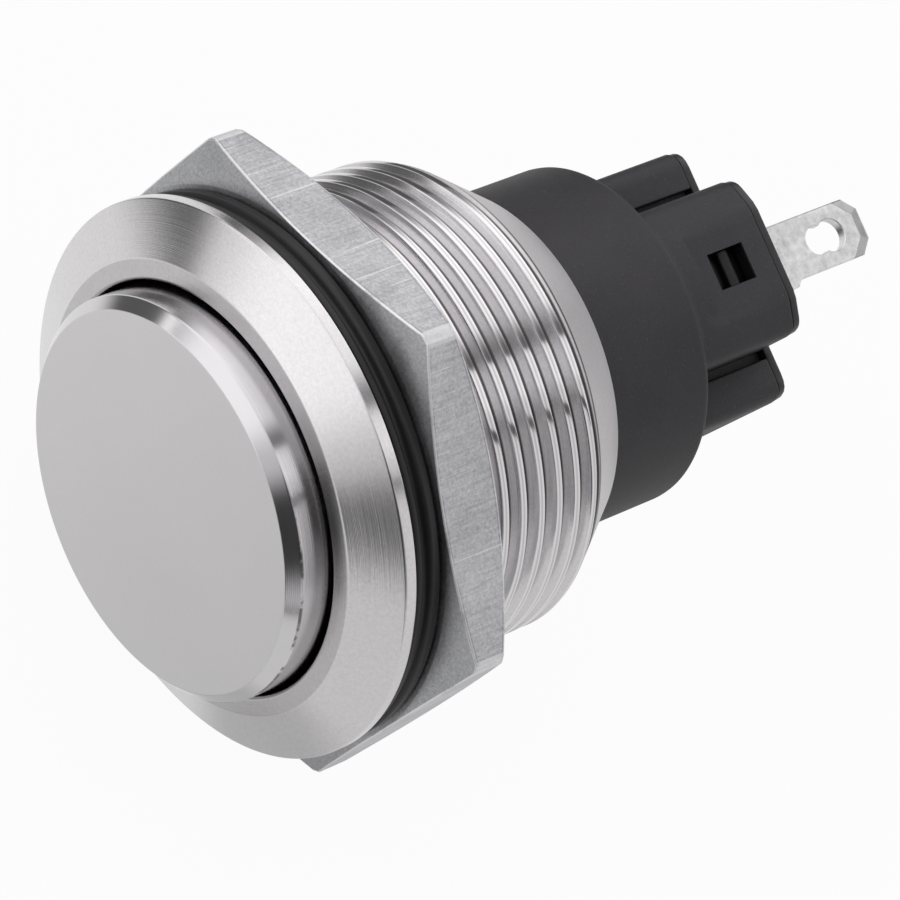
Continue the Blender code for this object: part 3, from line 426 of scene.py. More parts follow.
def nut_steel():
    """Satin steel. Noise stretched along the axis sets the tone and the relief, and a broader noise
    the gloss. The distance to a flat is the largest |z cos a - x sin a| of three directions a. Where
    it nearly reaches the flat, and y is near the turned cone, the edge is worn, and it is lighter
    there, a painted highlight. A darker band beside that edge is painted shade, and the cut corners
    are lighter, a painted highlight. The turned cone near the front is darkened, a painted shade."""
    made, start, shader = new_material("nut_steel")
    place, x, y, z = measured(start)
    radius = from_axis(x, z)
    across = None
    for k in range(3):
        a = NUT_TURN + math.pi / 6 + k * math.pi / 3
        side = (x * math.sin(-a) + z * math.cos(a)).absolute()
        across = side if across is None else start.math("MAXIMUM", across, side)
    flats = across.step(NUT_FLAT - 0.09, NUT_FLAT - 0.05)
    front = y - (radius - NUT_FLAT) * FRONT_SLOPE - NUT_FRONT
    back = NUT_BACK - y - (radius - NUT_FLAT) * BACK_SLOPE
    cloud = start.noise(place, 420.0, 4.0, 0.6)
    edge = start.math("MINIMUM", front, back)
    # Painted highlight along the worn edge of each flat.
    worn = flats * edge.step(0.085, 0.05) * cloud.step(0.30, 0.50) * 0.7
    # Painted highlight on the cut corners.
    corner = radius.step(NUT_CORNER - 0.10, NUT_CORNER - 0.07) * 0.5
    # Painted shade in a band beside the edge; the mesh has no groove there.
    groove = flats * edge.step(0.09, 0.11) * edge.step(0.15, 0.12) * cloud.step(0.62, 0.45) * 0.5
    grain = start.noise(place.vector("MULTIPLY", (9000.0, 500.0, 9000.0)), 1.0, 4.0, 0.7)
    lines = start.noise(place.vector("MULTIPLY", (2400.0, 30.0, 2400.0)), 1.0, 2.0, 0.5)
    scratch = flats * lines.step(0.62, 0.635) * lines.step(0.665, 0.65) * cloud.step(0.38, 0.52)
    speck = start.noise(place, 7000.0, 3.0, 0.75)
    tone = (grain - 0.5) * 0.9 + (cloud - 0.5) * 0.6 + (speck - 0.5) * 1.2 + 0.5
    colour = tone.step(0.0, 1.0, False).mixed((0.33, 0.332, 0.348, 1.0), (0.82, 0.824, 0.846, 1.0))
    # Painted shade on the front turned cone, near the seal.
    turned = (1 - flats) * radius.step(NUT_FLAT - 0.3, NUT_FLAT - 0.1) * y.step(3.3, 2.9)
    colour = start.math("MAXIMUM", groove, turned * 0.25).mixed(colour, (0.10, 0.10, 0.105, 1.0))
    bright = start.math("MAXIMUM", start.math("MAXIMUM", worn, corner), scratch * 0.6)
    colour = bright.mixed(colour, (0.95, 0.95, 0.95, 1.0))
    height = grain * 0.6 + speck * 0.4
    surface(start, shader, colour, (cloud - 0.5) * 0.2 + 0.44, height.bump(0.6, 0.000012))
    return made


# %% [markdown]
# The housing is a glass filled plastic. Fresh from the mould it is a very dark, slightly warm
# grey, matt, with a fine grain and pale specks of filler. Hardly any light reaches the walls of
# the latch windows and the inside of the tower, so a mask made from the place darkens them.

# %% Black plastic and rubber
FLAT = 7.57
TOWER_BACK = 26.2
WINDOW_HALF = 0.85
WINDOW_FRONT = 22.8
WINDOW_BACK = 24.9


def in_windows(x, y, z):
    """1 on the walls of the two latch windows below the tower's flats, and 0 elsewhere."""
    depth = z.absolute().step(FLAT - 0.07, FLAT - 0.13)
    beside = x.absolute().step(WINDOW_HALF + 0.10, WINDOW_HALF + 0.05)
    behind_front = y.step(WINDOW_FRONT - 0.10, WINDOW_FRONT - 0.05)
    return depth * beside * behind_front * y.step(WINDOW_BACK + 0.10, WINDOW_BACK + 0.05)


def inside_tower(x, y, z):
    """1 on all that lies in front of the terminal base's plate, and 0 elsewhere."""
    return y.step(TOWER_BACK - 0.1, TOWER_BACK - 0.2)


def moulded(name, shade, roughness, relief, speckle, hidden=None):
    """Moulded surface: fine noise for the grain, and its peaks for pale specks. Where a
    hidden place is given, as a function of x, y and z in mm, the surface is darker there."""
    made, start, shader = new_material(name)
    place, x, y, z = measured(start)
    grain = start.noise(place, 11000.0, 3.0, 0.7)
    cloud = start.noise(place, 350.0, 3.0, 0.55)
    specks = grain.step(0.61, 0.70) * speckle
    pale = tuple(min(1.0, c * 2.2 + 0.025) for c in shade)
    tone = specks + (cloud - 0.5) * 0.5 + 0.15
    colour = tone.step(0.0, 1.0, False).mixed((*shade, 1.0), (*pale, 1.0))
    if hidden:
        colour = hidden(x, y, z).mixed(colour, (0.0015, 0.0015, 0.0015, 1.0))
    gloss = (cloud - 0.5) * 0.12 + roughness
    surface(start, shader, colour, gloss, grain.bump(relief, 0.00002), metallic=0.0)
    shader.inputs["Specular IOR Level"].default_value = 0.48
    return made


PLASTIC = moulded("black_plastic", (0.0155, 0.0138, 0.0167), 0.56, 0.9, 1.0, in_windows)
BASE_PLASTIC = moulded("base_plastic", (0.012, 0.011, 0.013), 0.36, 0.5, 0.5, inside_tower)
RUBBER = moulded("black_rubber", (0.005, 0.0047, 0.005), 0.46, 0.4, 0.3)
print(PLASTIC.name, BASE_PLASTIC.name, RUBBER.name)

# %% [markdown]
# The terminals are brass strip with a dull coat of tin, which is mottled in pale and darker
# patches a few tenths of a millimetre across. Strip, wire and contacts inside the switch use
# the same recipe with other shades.

# %% Plated and drawn metals
TIP = 35.58
TIP_HALF = 0.78
COINED = 0.56


def plated(name, dark, light, roughness, coined=False):
    """Mottled metal: the tone between two shades follows noise, and so does the gloss. On a coined
    blade, the bevel round its end is darkened, a painted shade, and a painted highlight lies along the
    bevel's outer edge. The distance to that edge is the smaller of TIP - y and (TIP - y - |x| +
    TIP_HALF) / sqrt(2)."""
    made, start, shader = new_material(name)
    place, x, y, _ = measured(start)
    mottle = start.noise(place, 2200.0, 4.0, 0.65)
    fine = start.noise(place, 13200.0, 2.0, 0.6)
    tone = ((mottle - 0.5) * 2.2 + (fine - 0.5) * 0.6 + 0.5).step(0.0, 1.0, False)
    colour = tone.mixed((*dark, 1.0), (*light, 1.0))
    if coined:
        from_tip = TIP - y
        from_cut = (from_tip - x.absolute() + TIP_HALF) / math.sqrt(2)
        gap = start.math("MINIMUM", from_tip, from_cut)
        # Painted shade: the coined bevel is darker.
        bevel = gap.step(COINED + 0.01, COINED - 0.02)
        colour = (bevel * 0.6).mixed(colour, (0.22, 0.22, 0.23, 1.0))
        # Painted highlight along the bevel's outer edge.
        colour = (gap.step(0.07, 0.04) * 0.5).mixed(colour, (0.92, 0.92, 0.92, 1.0))
    gloss = (mottle - 0.5) * 0.25 + roughness
    surface(start, shader, colour, gloss, mottle.bump(0.3, 0.00001))
    return made


TIN = plated("tin_plate", (0.64, 0.64, 0.64), (0.95, 0.95, 0.945), 0.40, coined=True)
BRASS = plated("brass_strip", (0.62, 0.44, 0.19), (0.76, 0.58, 0.30), 0.28)
SILVER = plated("contact_silver", (0.74, 0.73, 0.71), (0.88, 0.87, 0.85), 0.26)
SPRING = plated("spring_wire", (0.45, 0.45, 0.46), (0.60, 0.60, 0.60), 0.30)
CLIP = plated("clip_steel", (0.26, 0.26, 0.27), (0.40, 0.40, 0.41), 0.38)
WHITE = moulded("white_plastic", (0.70, 0.68, 0.63), 0.45, 0.3, 0.1)
print(TIN.name, BRASS.name, SILVER.name, SPRING.name, CLIP.name, WHITE.name)

# %% [markdown]
# The bezel and the threaded sleeve are one turned piece. The thread is cut on the same lathe:
# the tool moves one pitch along the axis for each turn. So the radius at a place depends only
# on y / pitch - u / (one turn), the thread's phase. If the grid's rows follow that phase too,
# each crest and root has its own row and stays crisp. At the two ends the rows are held at the
# end plane, and the merge of doubles closes them up. At the rear the taper cuts through the
# thread, so the radius is the smaller of the two.

# %% Thread of the sleeve
PITCH = 1.0
CREST = 10.85
CREST_WIDTH = 0.32
ROOT_WIDTH = 0.14
FLANK = (PITCH - CREST_WIDTH - ROOT_WIDTH) / 2
ROOT = CREST - FLANK / math.tan(math.radians(30))
THREAD_PHASE = 0.2
THREAD_START = 1.6
TAPER_START = 11.36
TAPER_END = 14.81
TAPER_RADIUS = 8.5
THREAD_END = TAPER_START + (TAPER_END - TAPER_START) * (CREST - ROOT) / (CREST - TAPER_RADIUS)


def taper(y):
    """The radius of the cone behind the thread, which falls evenly from crest to end."""
    share = np.clip((y - TAPER_START) / (TAPER_END - TAPER_START), 0, 1)
    return CREST + (TAPER_RADIUS - CREST) * share


def thread(phase):
    """Flat crest, straight flank, flat root, straight flank. The share of the thread's depth is
    the distance past the crest over the flank's width, held from 0 to 1. Where that takes the
    positive part of d, (d + sqrt(d^2 + softness^2)) / 2 rounds the corner."""
    past = np.abs((phase + 0.5) % 1.0 - 0.5) * PITCH - CREST_WIDTH / 2
    softness = 0.04

    def positive(d):
        return 0.5 * (d + np.sqrt(d**2 + softness**2))

    share = positive(past / FLANK)
    share = 1 - positive(1 - share)
    flat = 1 - positive(1 - positive(-CREST_WIDTH / 2 / FLANK))
    deep = 1 - positive(1 - positive((PITCH - CREST_WIDTH) / 2 / FLANK))
    return CREST - (CREST - ROOT) * (share - flat) / (deep - flat)


def sleeve_radius(y, u):
    """The thread's radius at its phase, cut by the taper."""
    return np.minimum(thread(y / PITCH - THREAD_PHASE - u / math.tau), taper(y))


columns = 216
u = np.linspace(0, math.tau, columns + 1)
fractions = np.array([0, 0.08, 0.13, 0.145, 0.16, 0.175, 0.19, 0.28, 0.38, 0.41, 0.425, 0.44, 0.46])
fractions = np.concatenate([fractions, [0.5], 1 - fractions[:0:-1]])
turns = np.arange(math.floor(THREAD_START) - 1, math.ceil(THREAD_END) + 1)
phases = (turns[:, None] + fractions[None, :]).ravel()
rows_y = PITCH * (phases[:, None] + THREAD_PHASE + u[None, :] / math.tau)
rows_y = np.clip(rows_y, THREAD_START, THREAD_END)
rows_r = sleeve_radius(rows_y, u[None, :])
thread_grid = np.stack([rows_r * np.sin(u), rows_y, rows_r * np.cos(u)], -1)
print("thread rows:", len(phases), "radius", rows_r.min().round(3), "to", rows_r.max().round(3))

# %% [markdown]
# The rest of the same piece is a plain turned profile: back from the thread along the taper,
# into the chamber with its groove for the lock ring, round the guide wall with the groove for
# the stem's seal, out through the button's bore, and over the bezel to the thread's start. The
# bezel slopes back from a narrow flat ring, the land, round the bore.

# %% Bezel, sleeve and guide wall
CHAMBER = 8.15
LOCK_FRONT = 9.175
LOCK_BACK = 10.275
LOCK_DEPTH = 0.435
GUIDE_FRONT = 4.6
GUIDE_BACK = 7.0
GUIDE_BORE = 5.2
BUTTON_BORE = 9.24
LAND_RADIUS = 10.15
LAND_FRONT = -1.74
BEZEL_RADIUS = 12.5
BEZEL_BACK = -0.02
corners = [
    (float(taper(THREAD_END)), THREAD_END),
    (TAPER_RADIUS, TAPER_END),
    (CHAMBER, TAPER_END),
    (CHAMBER, LOCK_BACK),
    (CHAMBER + LOCK_DEPTH, LOCK_BACK),
    (CHAMBER + LOCK_DEPTH, LOCK_FRONT),
    (CHAMBER, LOCK_FRONT),
    (CHAMBER, GUIDE_BACK),
    (GUIDE_BORE, GUIDE_BACK),
    (GUIDE_BORE, 6.45),
    (6.3, 6.45),
    (6.3, 5.15),
    (GUIDE_BORE, 5.15),
    (GUIDE_BORE, GUIDE_FRONT),
    (BUTTON_BORE, GUIDE_FRONT),
    (BUTTON_BORE, -1.70),
    (BUTTON_BORE + 0.13, -1.83),
    (LAND_RADIUS, LAND_FRONT),
    (BEZEL_RADIUS, -0.585),
    (BEZEL_RADIUS, BEZEL_BACK),
    (ROOT, BEZEL_BACK),
    (ROOT, THREAD_START),
]
bezel_profile = rounded(corners, reach=0.06, closed=False)
bezel_rest = turn(bezel_profile, columns)
bezel_grid = np.concatenate([thread_grid, bezel_rest, thread_grid[:1]])
bezel = grid_piece("bezel_and_sleeve", bezel_grid, crease=26.0)
BEZEL_STEEL = steel("turned_steel", (0.684, 0.669, 0.678), 0.17, 0.16, 0.03)
bezel.data.materials.append(BEZEL_STEEL)
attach(bezel, "switch_body")
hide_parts("bezel_housing")

# %% [markdown]
# The button is a thick turned cap: a flat crown with a bright chamfer, a skirt that runs in
# the bore, and a stem through the guide wall with a groove for the retaining clip.

# %% Button
SKIRT_BACK = 1.9
UNDER_CROWN = -1.72
STEM = 5.0
CLIP_FRONT = 7.05
CLIP_BACK = 7.85
STEM_END = 8.55
corners = [
    (0.0, BUTTON_FRONT),
    (CROWN_RADIUS, BUTTON_FRONT),
    (9.035, CHAMFER_BACK),
    (9.035, SKIRT_BACK),
    (8.185, SKIRT_BACK),
    (8.185, UNDER_CROWN),
    (STEM, UNDER_CROWN),
    (STEM, CLIP_FRONT),
    (STEM - 0.5, CLIP_FRONT),
    (STEM - 0.5, CLIP_BACK),
    (STEM, CLIP_BACK),
    (STEM, STEM_END),
    (0.0, STEM_END),
]
button_profile = rounded(corners, reach=0.05, closed=False)
button = grid_piece("button", turn(button_profile), crease=26.0)
button.data.materials.append(BUTTON_STEEL)
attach(button, "button")
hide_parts("button_cap")

# %% [markdown]
# The panel seal is a flat rubber ring with a groove round its edge. The groove leaves two
# lips, which show as two dark lines between the rim and the nut.

# %% Panel seal
SEAL_FRONT = 0.15
SEAL_BACK = 1.43
SEAL_BORE = 11.05
SEAL_LIP = 12.35
SEAL_GROOVE = 12.02
corners = [
    (SEAL_BORE, SEAL_FRONT),
    (SEAL_LIP - 0.05, SEAL_FRONT),
    (SEAL_LIP, 0.45),
    (SEAL_GROOVE, 0.62),
    (SEAL_GROOVE, 0.80),
    (SEAL_LIP, 0.98),
    (SEAL_LIP - 0.05, SEAL_BACK),
    (SEAL_BORE, SEAL_BACK),
]
seal_profile = rounded(corners, reach=0.1)
seal = grid_piece("panel_seal_ring", turn(looped(seal_profile)), crease=50.0)
seal.data.materials.append(RUBBER)
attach(seal, "switch_body")
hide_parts("panel_seal")

# %% [markdown]
# The nut is a hexagon whose two ends are turned to a shallow cone, which is what leaves the
# curved edge lines on its flats. At each angle the side is flat / cos(angle from the flat's
# middle) away from the axis, held to a corner radius. The cone's height at that radius gives
# the top and bottom of the flat. So the whole nut is one function of the angle and of the
# place along its section.

# %% Hexagon nut


def nut_side(angle):
    """flat / cos of the angle from the nearest flat's middle, held to the corner radius."""
    offset = (angle - math.pi / 6) % (math.pi / 3)
    offset = np.where(offset > math.pi / 6, offset - math.pi / 3, offset)
    return np.minimum(NUT_FLAT / np.cos(offset), NUT_CORNER)


def nut_grid(columns_a_side=28):
    """Rows round the section at each angle: bore, front face, front cone, flat, back cone,
    back face and bore again. Columns fall exactly on the ends of each cut corner."""
    half_cut = math.pi / 6 - math.acos(NUT_FLAT / NUT_CORNER)
    corner = np.array([-half_cut, -half_cut / 2, 0, half_cut / 2])
    side = np.linspace(half_cut, math.pi / 3 - half_cut, columns_a_side)[:-1]
    one = np.concatenate([corner, side])
    angle = (np.arange(6)[:, None] * math.pi / 3 + one[None, :]).ravel()
    angle = np.append(angle, angle[0] + math.tau)
    outer = nut_side(angle)
    rise = np.maximum(outer - NUT_FLAT, 0)
    front = NUT_FRONT + rise * FRONT_SLOPE
    back = NUT_BACK - rise * BACK_SLOPE
    edge = 0.05
    flat = np.full_like(angle, NUT_FLAT)
    rows = [
        (NUT_BORE, NUT_FRONT + 0.35),
        (NUT_BORE + 0.35, NUT_FRONT),
        (NUT_BORE + 0.42, NUT_FRONT),
        (flat - 0.10, NUT_FRONT),
        (flat - 0.04, NUT_FRONT + 0.004),
        ((flat + outer) / 2 - edge, (NUT_FRONT + front) / 2),
        (outer - edge, front - edge * 0.2),
        (outer - edge * 0.25, front + edge * 0.3),
        (outer, front + edge * 1.2),
        (outer, (front + back) / 2),
        (outer, back - edge * 1.2),
        (outer - edge * 0.25, back - edge * 0.3),
        (outer - edge, back + edge * 0.25),
        ((flat + outer) / 2 - edge, (NUT_BACK + back) / 2),
        (flat - 0.04, NUT_BACK - 0.004),
        (flat - 0.10, NUT_BACK),
        (NUT_BORE + 0.57, NUT_BACK),
        (NUT_BORE + 0.50, NUT_BACK - 0.02),
        (NUT_BORE, NUT_BACK - 0.5),
        (NUT_BORE, NUT_FRONT + 0.35),
    ]
    direction = angle + NUT_TURN
    sine, cosine = np.sin(direction), np.cos(direction)
    points = [np.broadcast_arrays(-r * sine, y, r * cosine) for r, y in rows]
    return np.stack(points).transpose(0, 2, 1)


nut = grid_piece("hexagon_nut", nut_grid(), crease=14.0)
NUT_STEEL = nut_steel()
nut.data.materials.append(NUT_STEEL)
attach(nut, "nut")
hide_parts("hex_nut")

# %% [markdown]
# The contact housing is a moulding: a round drum that plugs into the sleeve, and behind it a
# tower whose section is a cross. The upright of the cross is as tall as the drum and follows
# its round, and the cross bar is lower. A narrow relief groove runs along each inner corner.
# The tower is an outline carried along the axis. Near its rear end the outline shrinks along
# a quarter circle, which rounds the rear edges.

# %% Outline of the tower
DRUM = 7.92
DRUM_BACK = 20.85
HALF_UPRIGHT = 3.75
HALF_BAR = 6.1
BAR_HEIGHT = 4.4
RELIEF = 0.44


def quarter(inset, flat, relief, wall=0.0):
    """A quarter of the cross, for +x and +z, from the middle of its top to the end of its
    bar. The top is z = sqrt(R^2 - x^2), held to the flat's level. Every side moves in by
    the inset and the wall."""
    moved = inset + wall
    reach, side = DRUM - 0.06 - moved, HALF_UPRIGHT - moved
    level, end = BAR_HEIGHT - moved, HALF_BAR - moved
    crown = np.linspace(0, side - 1.3, 7)
    top = np.minimum(np.sqrt(reach**2 - crown**2), flat - moved)
    shoulder = min(math.sqrt(reach**2 - side**2), flat - moved)
    slot = HALF_UPRIGHT + RELIEF + inset if relief else side + 0.3
    floor = level - 0.5 if relief else level - 0.001
    path = [
        (crown[-1], top[-1]),
        (side, shoulder),
        (side, floor),
        (slot, floor),
        (slot, level),
        (end, level),
        (end, 0.0),
    ]
    reaches = [0.1, 0.55, 0.06, 0.06, 0.08 if relief else 0.0002, 0.9, 0.1]
    line = rounded(path, np.array(reaches) * (0.4 if wall else 1.0), 5, closed=False)
    return np.vstack([np.stack([crown[:-1], top[:-1]], -1), line])


def cross_ring(y, inset=0.0, flat=9.0, relief=True, wall=0.0):
    """The whole outline at one place along the axis, from four mirrored quarters."""
    first = quarter(inset, flat, relief, wall)
    second = first[::-1][1:] * (1, -1)
    third = first[1:] * (-1, -1)
    fourth = first[::-1][1:-1] * (-1, 1)
    whole = np.vstack([first, second, third, fourth])
    return np.stack([whole[:, 0], np.full(len(whole), y), whole[:, 1]], -1)


def cross_loft(name, rings, crease=40.0):
    """Outlines along the axis, each given as the settings of its ring."""
    return grid_piece(name, loft(np.array([cross_ring(**ring) for ring in rings])), crease, caps=True)


print("outline points:", len(cross_ring(0.0)))

# %% [markdown]
# The drum is turned in the mould's own round cavity, so here it is a turned profile too. It is
# hollow: a well in front takes the plunger's head, a wall guides the plunger, and behind it is
# the contact chamber. Outside, it has a groove for the lock ring and one for the rubber seal. The
# tower is joined on, hollowed out, and given its two latch windows.

# %% Contact housing
DRUM_FRONT = 7.35
PLUNGER_BORE = 1.65
corners = [
    (DRUM - 1.0, DRUM_FRONT),
    (DRUM, DRUM_FRONT),
    (DRUM, LOCK_FRONT),
    (DRUM - LOCK_DEPTH, LOCK_FRONT),
    (DRUM - LOCK_DEPTH, LOCK_BACK),
    (DRUM, LOCK_BACK),
    (DRUM, 11.85),
    (DRUM - 0.77, 11.85),
    (DRUM - 0.77, 12.85),
    (DRUM, 12.85),
    (DRUM, DRUM_BACK),
    (PLUNGER_BORE, DRUM_BACK),
    (PLUNGER_BORE, DRUM_BACK - 1.0),
    (DRUM - 1.3, DRUM_BACK - 1.0),
    (DRUM - 1.3, 13.0),
    (PLUNGER_BORE, 13.0),
    (PLUNGER_BORE, 11.7),
    (DRUM - 1.0, 11.7),
]
drum_profile = rounded(corners, reach=np.array([0.05] * 10 + [0.3] + [0.05] * 7), steps=4)
housing = grid_piece("contact_housing_moulding", turn(looped(drum_profile)), crease=40.0)
round_back = ((0.14, 0.0), (0.07, 0.015), (0.02, 0.055), (0.0, 0.12))
FLAT_FRONT = 21.93
rings = [dict(y=y, inset=0.0) for y in (DRUM_BACK - 0.45, DRUM_BACK + 0.15, FLAT_FRONT - 0.07)]
rings += [dict(y=FLAT_FRONT, inset=0.0, flat=FLAT)]
rings += [dict(y=TOWER_BACK - before, inset=inset, flat=FLAT) for before, inset in round_back]
tower = cross_loft("tower", rings)
combine(housing, tower, "UNION")
ends = (DRUM_BACK - 1.2, TOWER_BACK + 1.0)
hollow = cross_loft("hollow", [dict(y=y, relief=False, wall=1.0) for y in ends])
combine(housing, hollow, "DIFFERENCE")
for side in (1, -1):
    low, high = sorted((side * 4.4, side * 9.0))
    window = block("window", (-WINDOW_HALF, WINDOW_FRONT, low), (WINDOW_HALF, WINDOW_BACK, high))
    combine(housing, window, "DIFFERENCE")
housing.data.materials.append(PLASTIC)
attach(housing, "switch_body")
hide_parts("contact_housing")
print("housing faces:", len(housing.data.polygons))

# %% [markdown]
# The terminal base closes the tower. It is a thin plate of the same cross outline with a plug
# that reaches into the tower. Two small round ridges on the plug snap into the windows, and
# they are the grey bars seen there. Two slots let the terminals through.

# %% Terminal base
FLANGE_FRONT = 26.22
FLANGE_BACK = 26.68
PLUG_FRONT = 21.9
LATCH_MIDDLE = 24.10
LATCH_HALF = 0.37
BLADE = 3.20
SLOT_HALF = 1.85
flange = [(FLANGE_FRONT, 0.09), (FLANGE_FRONT + 0.03, 0.06), (FLANGE_BACK - 0.16, 0.06)]
flange += [(FLANGE_BACK - 0.05, 0.10), (FLANGE_BACK, 0.20)]
rings = [dict(y=y, inset=inset, flat=FLAT, relief=False) for y, inset in flange]
base = cross_loft("terminal_base_plate", rings)
plug_rings = [(PLUG_FRONT, 1.25), (PLUG_FRONT + 0.1, 1.15), (FLANGE_FRONT + 0.19, 1.15)]
rings = [dict(y=y, relief=False, wall=wall) for y, wall in plug_rings]
combine(base, cross_loft("plug", rings), "UNION")
for side in (1, -1):
    turned = np.linspace(0, math.pi, 13)
    ridge = np.stack([6.85 + 0.34 * np.sin(turned), LATCH_MIDDLE + LATCH_HALF * np.cos(turned)], -1)
    ridge = np.vstack([(5.8, LATCH_MIDDLE + LATCH_HALF), ridge, (5.8, LATCH_MIDDLE - LATCH_HALF)])
    sides = [np.stack([0 * ridge[:, 0] + x, ridge[:, 1], side * ridge[:, 0]], -1) for x in (-0.8, 0.8)]
    latch = grid_piece("latch", loft(np.array(sides)), caps=True)
    combine(base, latch, "UNION")
    low, high = sorted((side * (BLADE - 0.40), side * (BLADE + 0.40)))
    slot = block("slot", (-SLOT_HALF, 20.9, low), (SLOT_HALF, 27.5, high))
    combine(base, slot, "DIFFERENCE")
base.data.materials.append(BASE_PLASTIC)
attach(base, "switch_body")
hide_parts("terminal_base")
print("base faces:", len(base.data.polygons))

# %% [markdown]
# Each terminal is stamped from strip and bent. Its path runs from the tip forward into the
# housing and turns a right angle inwards to the foot, which carries the fixed contact. The
# section carried along it is a rectangle with small rounds. Towards the tip the strip is
# coined thinner and its corners are cut, so that a receptacle slides on. The blade is wider on
# one side up to a shoulder, and the eye takes a soldered wire.

# %% Terminals
BLADE_HALF = 1.40
CUT = BLADE_HALF - TIP_HALF
SHOULDER = 30.75
EYE = 33.0
BEND = 0.45
FOOT = 18.35
FOOT_END = 1.15


def strip_path():
    """Points (y, z) and unit normals along the strip: straight, a quarter circle of six points,
    and straight again to the foot's end, two points more."""
    tip = TIP - np.array([0, 0.02, 0.06, 0.12, 0.2, 0.28, 0.36, 0.44, 0.52, 0.62, 0.72])
    along = np.concatenate([tip, [34.4, 32.0, SHOULDER, SHOULDER - 0.3, 26.0, FOOT + BEND]])
    turned = np.linspace(0, math.pi / 2, 7)[1:]
    arc_y = FOOT + BEND - BEND * np.sin(turned)
    arc_z = BLADE - BEND + BEND * np.cos(turned)
    y = np.concatenate([along, arc_y, [FOOT, FOOT]])
    z = np.concatenate([np.full(len(along), BLADE), arc_z, [FOOT_END + 0.04, FOOT_END]])
    normal_z = np.concatenate([np.ones(len(along)), np.cos(turned), [0, 0]])
    normal_y = np.concatenate([np.zeros(len(along)), -np.sin(turned), [-1, -1]])
    return y, z, normal_y, normal_z


def strip_grid(side, across=25):
    """The section at each place: a flat top, a flat underside, and a small chamfer at each
    edge. Its half thickness is 0.25 - 0.17 max(0, 1 - d / COINED), where d is the distance to
    the tip's edge or to a cut corner, whichever is nearer. That is the coined bevel."""
    y, z, normal_y, normal_z = strip_path()
    place = np.array([18.0, SHOULDER - 0.3, SHOULDER, TIP - CUT, TIP])
    right = np.interp(y, place, [1.70, 1.70, BLADE_HALF, BLADE_HALF, TIP_HALF])
    left = np.interp(y, place, [BLADE_HALF] * 4 + [TIP_HALF])
    bend_and_foot = slice(-8, None)
    right[bend_and_foot] = BLADE_HALF
    t = np.linspace(-1, 1, across)
    half, middle = (right + left)[:, None] / 2, (right - left)[:, None] / 2
    inner = middle + (half - 0.05) * t
    outer_left, outer_right = middle - half, middle + half
    x = np.hstack([inner, outer_right, outer_right, inner[:, ::-1], outer_left, outer_left])
    from_tip = (TIP - y)[:, None]
    from_cut = (from_tip - np.abs(x) + TIP_HALF) / math.sqrt(2)
    gap = np.where(z[:, None] > BLADE - 0.1, np.minimum(from_tip, from_cut), 1.0)
    thick = 0.25 - 0.17 * np.clip(1 - gap / COINED, 0, 1)
    edge = np.maximum(thick - 0.05, 0.04)
    up = np.ones_like(inner)
    sign = np.hstack([up, up[:, :1], -up[:, :1], -up, -up[:, :1], up[:, :1]])
    chamfered = np.zeros(x.shape[1], bool)
    chamfered[[across, across + 1, 2 * across + 2, 2 * across + 3]] = True
    n = sign * np.where(chamfered[None, :], edge, thick)
    points = [x, y[:, None] + n * normal_y[:, None], side * (z[:, None] + n * normal_z[:, None])]
    return loft(np.stack(points, -1))


def eye_cutter(side, columns=72):
    """Two round holes punched side by side. Seen from a point between their centres, each
    circle is d cos(f) + sqrt(R^2 - d^2 sin(f)^2) away, and the eye's edge is the farther one.
    It is flared past both faces of the blade."""
    t = np.linspace(0, math.tau, columns, endpoint=False)
    reach = []
    for offset, radius in ((0.43, 0.78), (-0.42, 0.70)):
        reach.append(offset * np.sin(t) + np.sqrt(radius**2 - (offset * np.cos(t)) ** 2))
    edge = np.maximum(*reach)
    rings = []
    for height, flare in ((-0.5, 0.29), (-0.21, 0.0), (0.21, 0.0), (0.5, 0.29)):
        x, y = (edge + flare) * np.cos(t), EYE + (edge + flare) * np.sin(t)
        rings.append(np.stack([x, y, np.full(columns, side * (BLADE + height))], -1))
    return loft(np.array(rings))


for side, label in ((1, "top"), (-1, "bottom")):
    blade = grid_piece("terminal_strip_" + label, strip_grid(side), crease=9.0, caps=True)
    eye = grid_piece("eye", eye_cutter(side), crease=50.0, caps=True)
    combine(blade, eye, "DIFFERENCE", 9.0)
    blade.data.materials.append(TIN)
    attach(blade, "switch_body")
    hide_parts("terminal_" + label)

# %% [markdown]
# The small pieces inside keep their shapes from the CAD model, since they hide behind the
# sleeve and the drum. Each gets the material it would have: silver contacts, a brass bridge, a
# white plunger, a dark clip, a lock ring of spring wire and rubber seals.

# %% Materials for the inner pieces
INNER = {
    "stem_clip": CLIP,
    "stem_seal": RUBBER,
    "housing_seal": RUBBER,
    "housing_lock_ring": SPRING,
    "fixed_contact_top": SILVER,
    "fixed_contact_bottom": SILVER,
    "moving_contact_top": SILVER,
    "moving_contact_bottom": SILVER,
    "contact_bridge": BRASS,
    "plunger": WHITE,
}
for node, finish in INNER.items():
    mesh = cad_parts[node].data
    mesh.materials.clear()
    mesh.materials.append(finish)
print("inner pieces dressed:", len(INNER))

# %% [markdown]
# Three coil springs sit inside: one between the button's crown and the guide wall, one between the
# plunger and the contact bridge, and one behind the plunger. A press squeezes each between two parts
# that move by different amounts. So each is a piece of its own, which rides with the part behind it.

# %% Coil springs


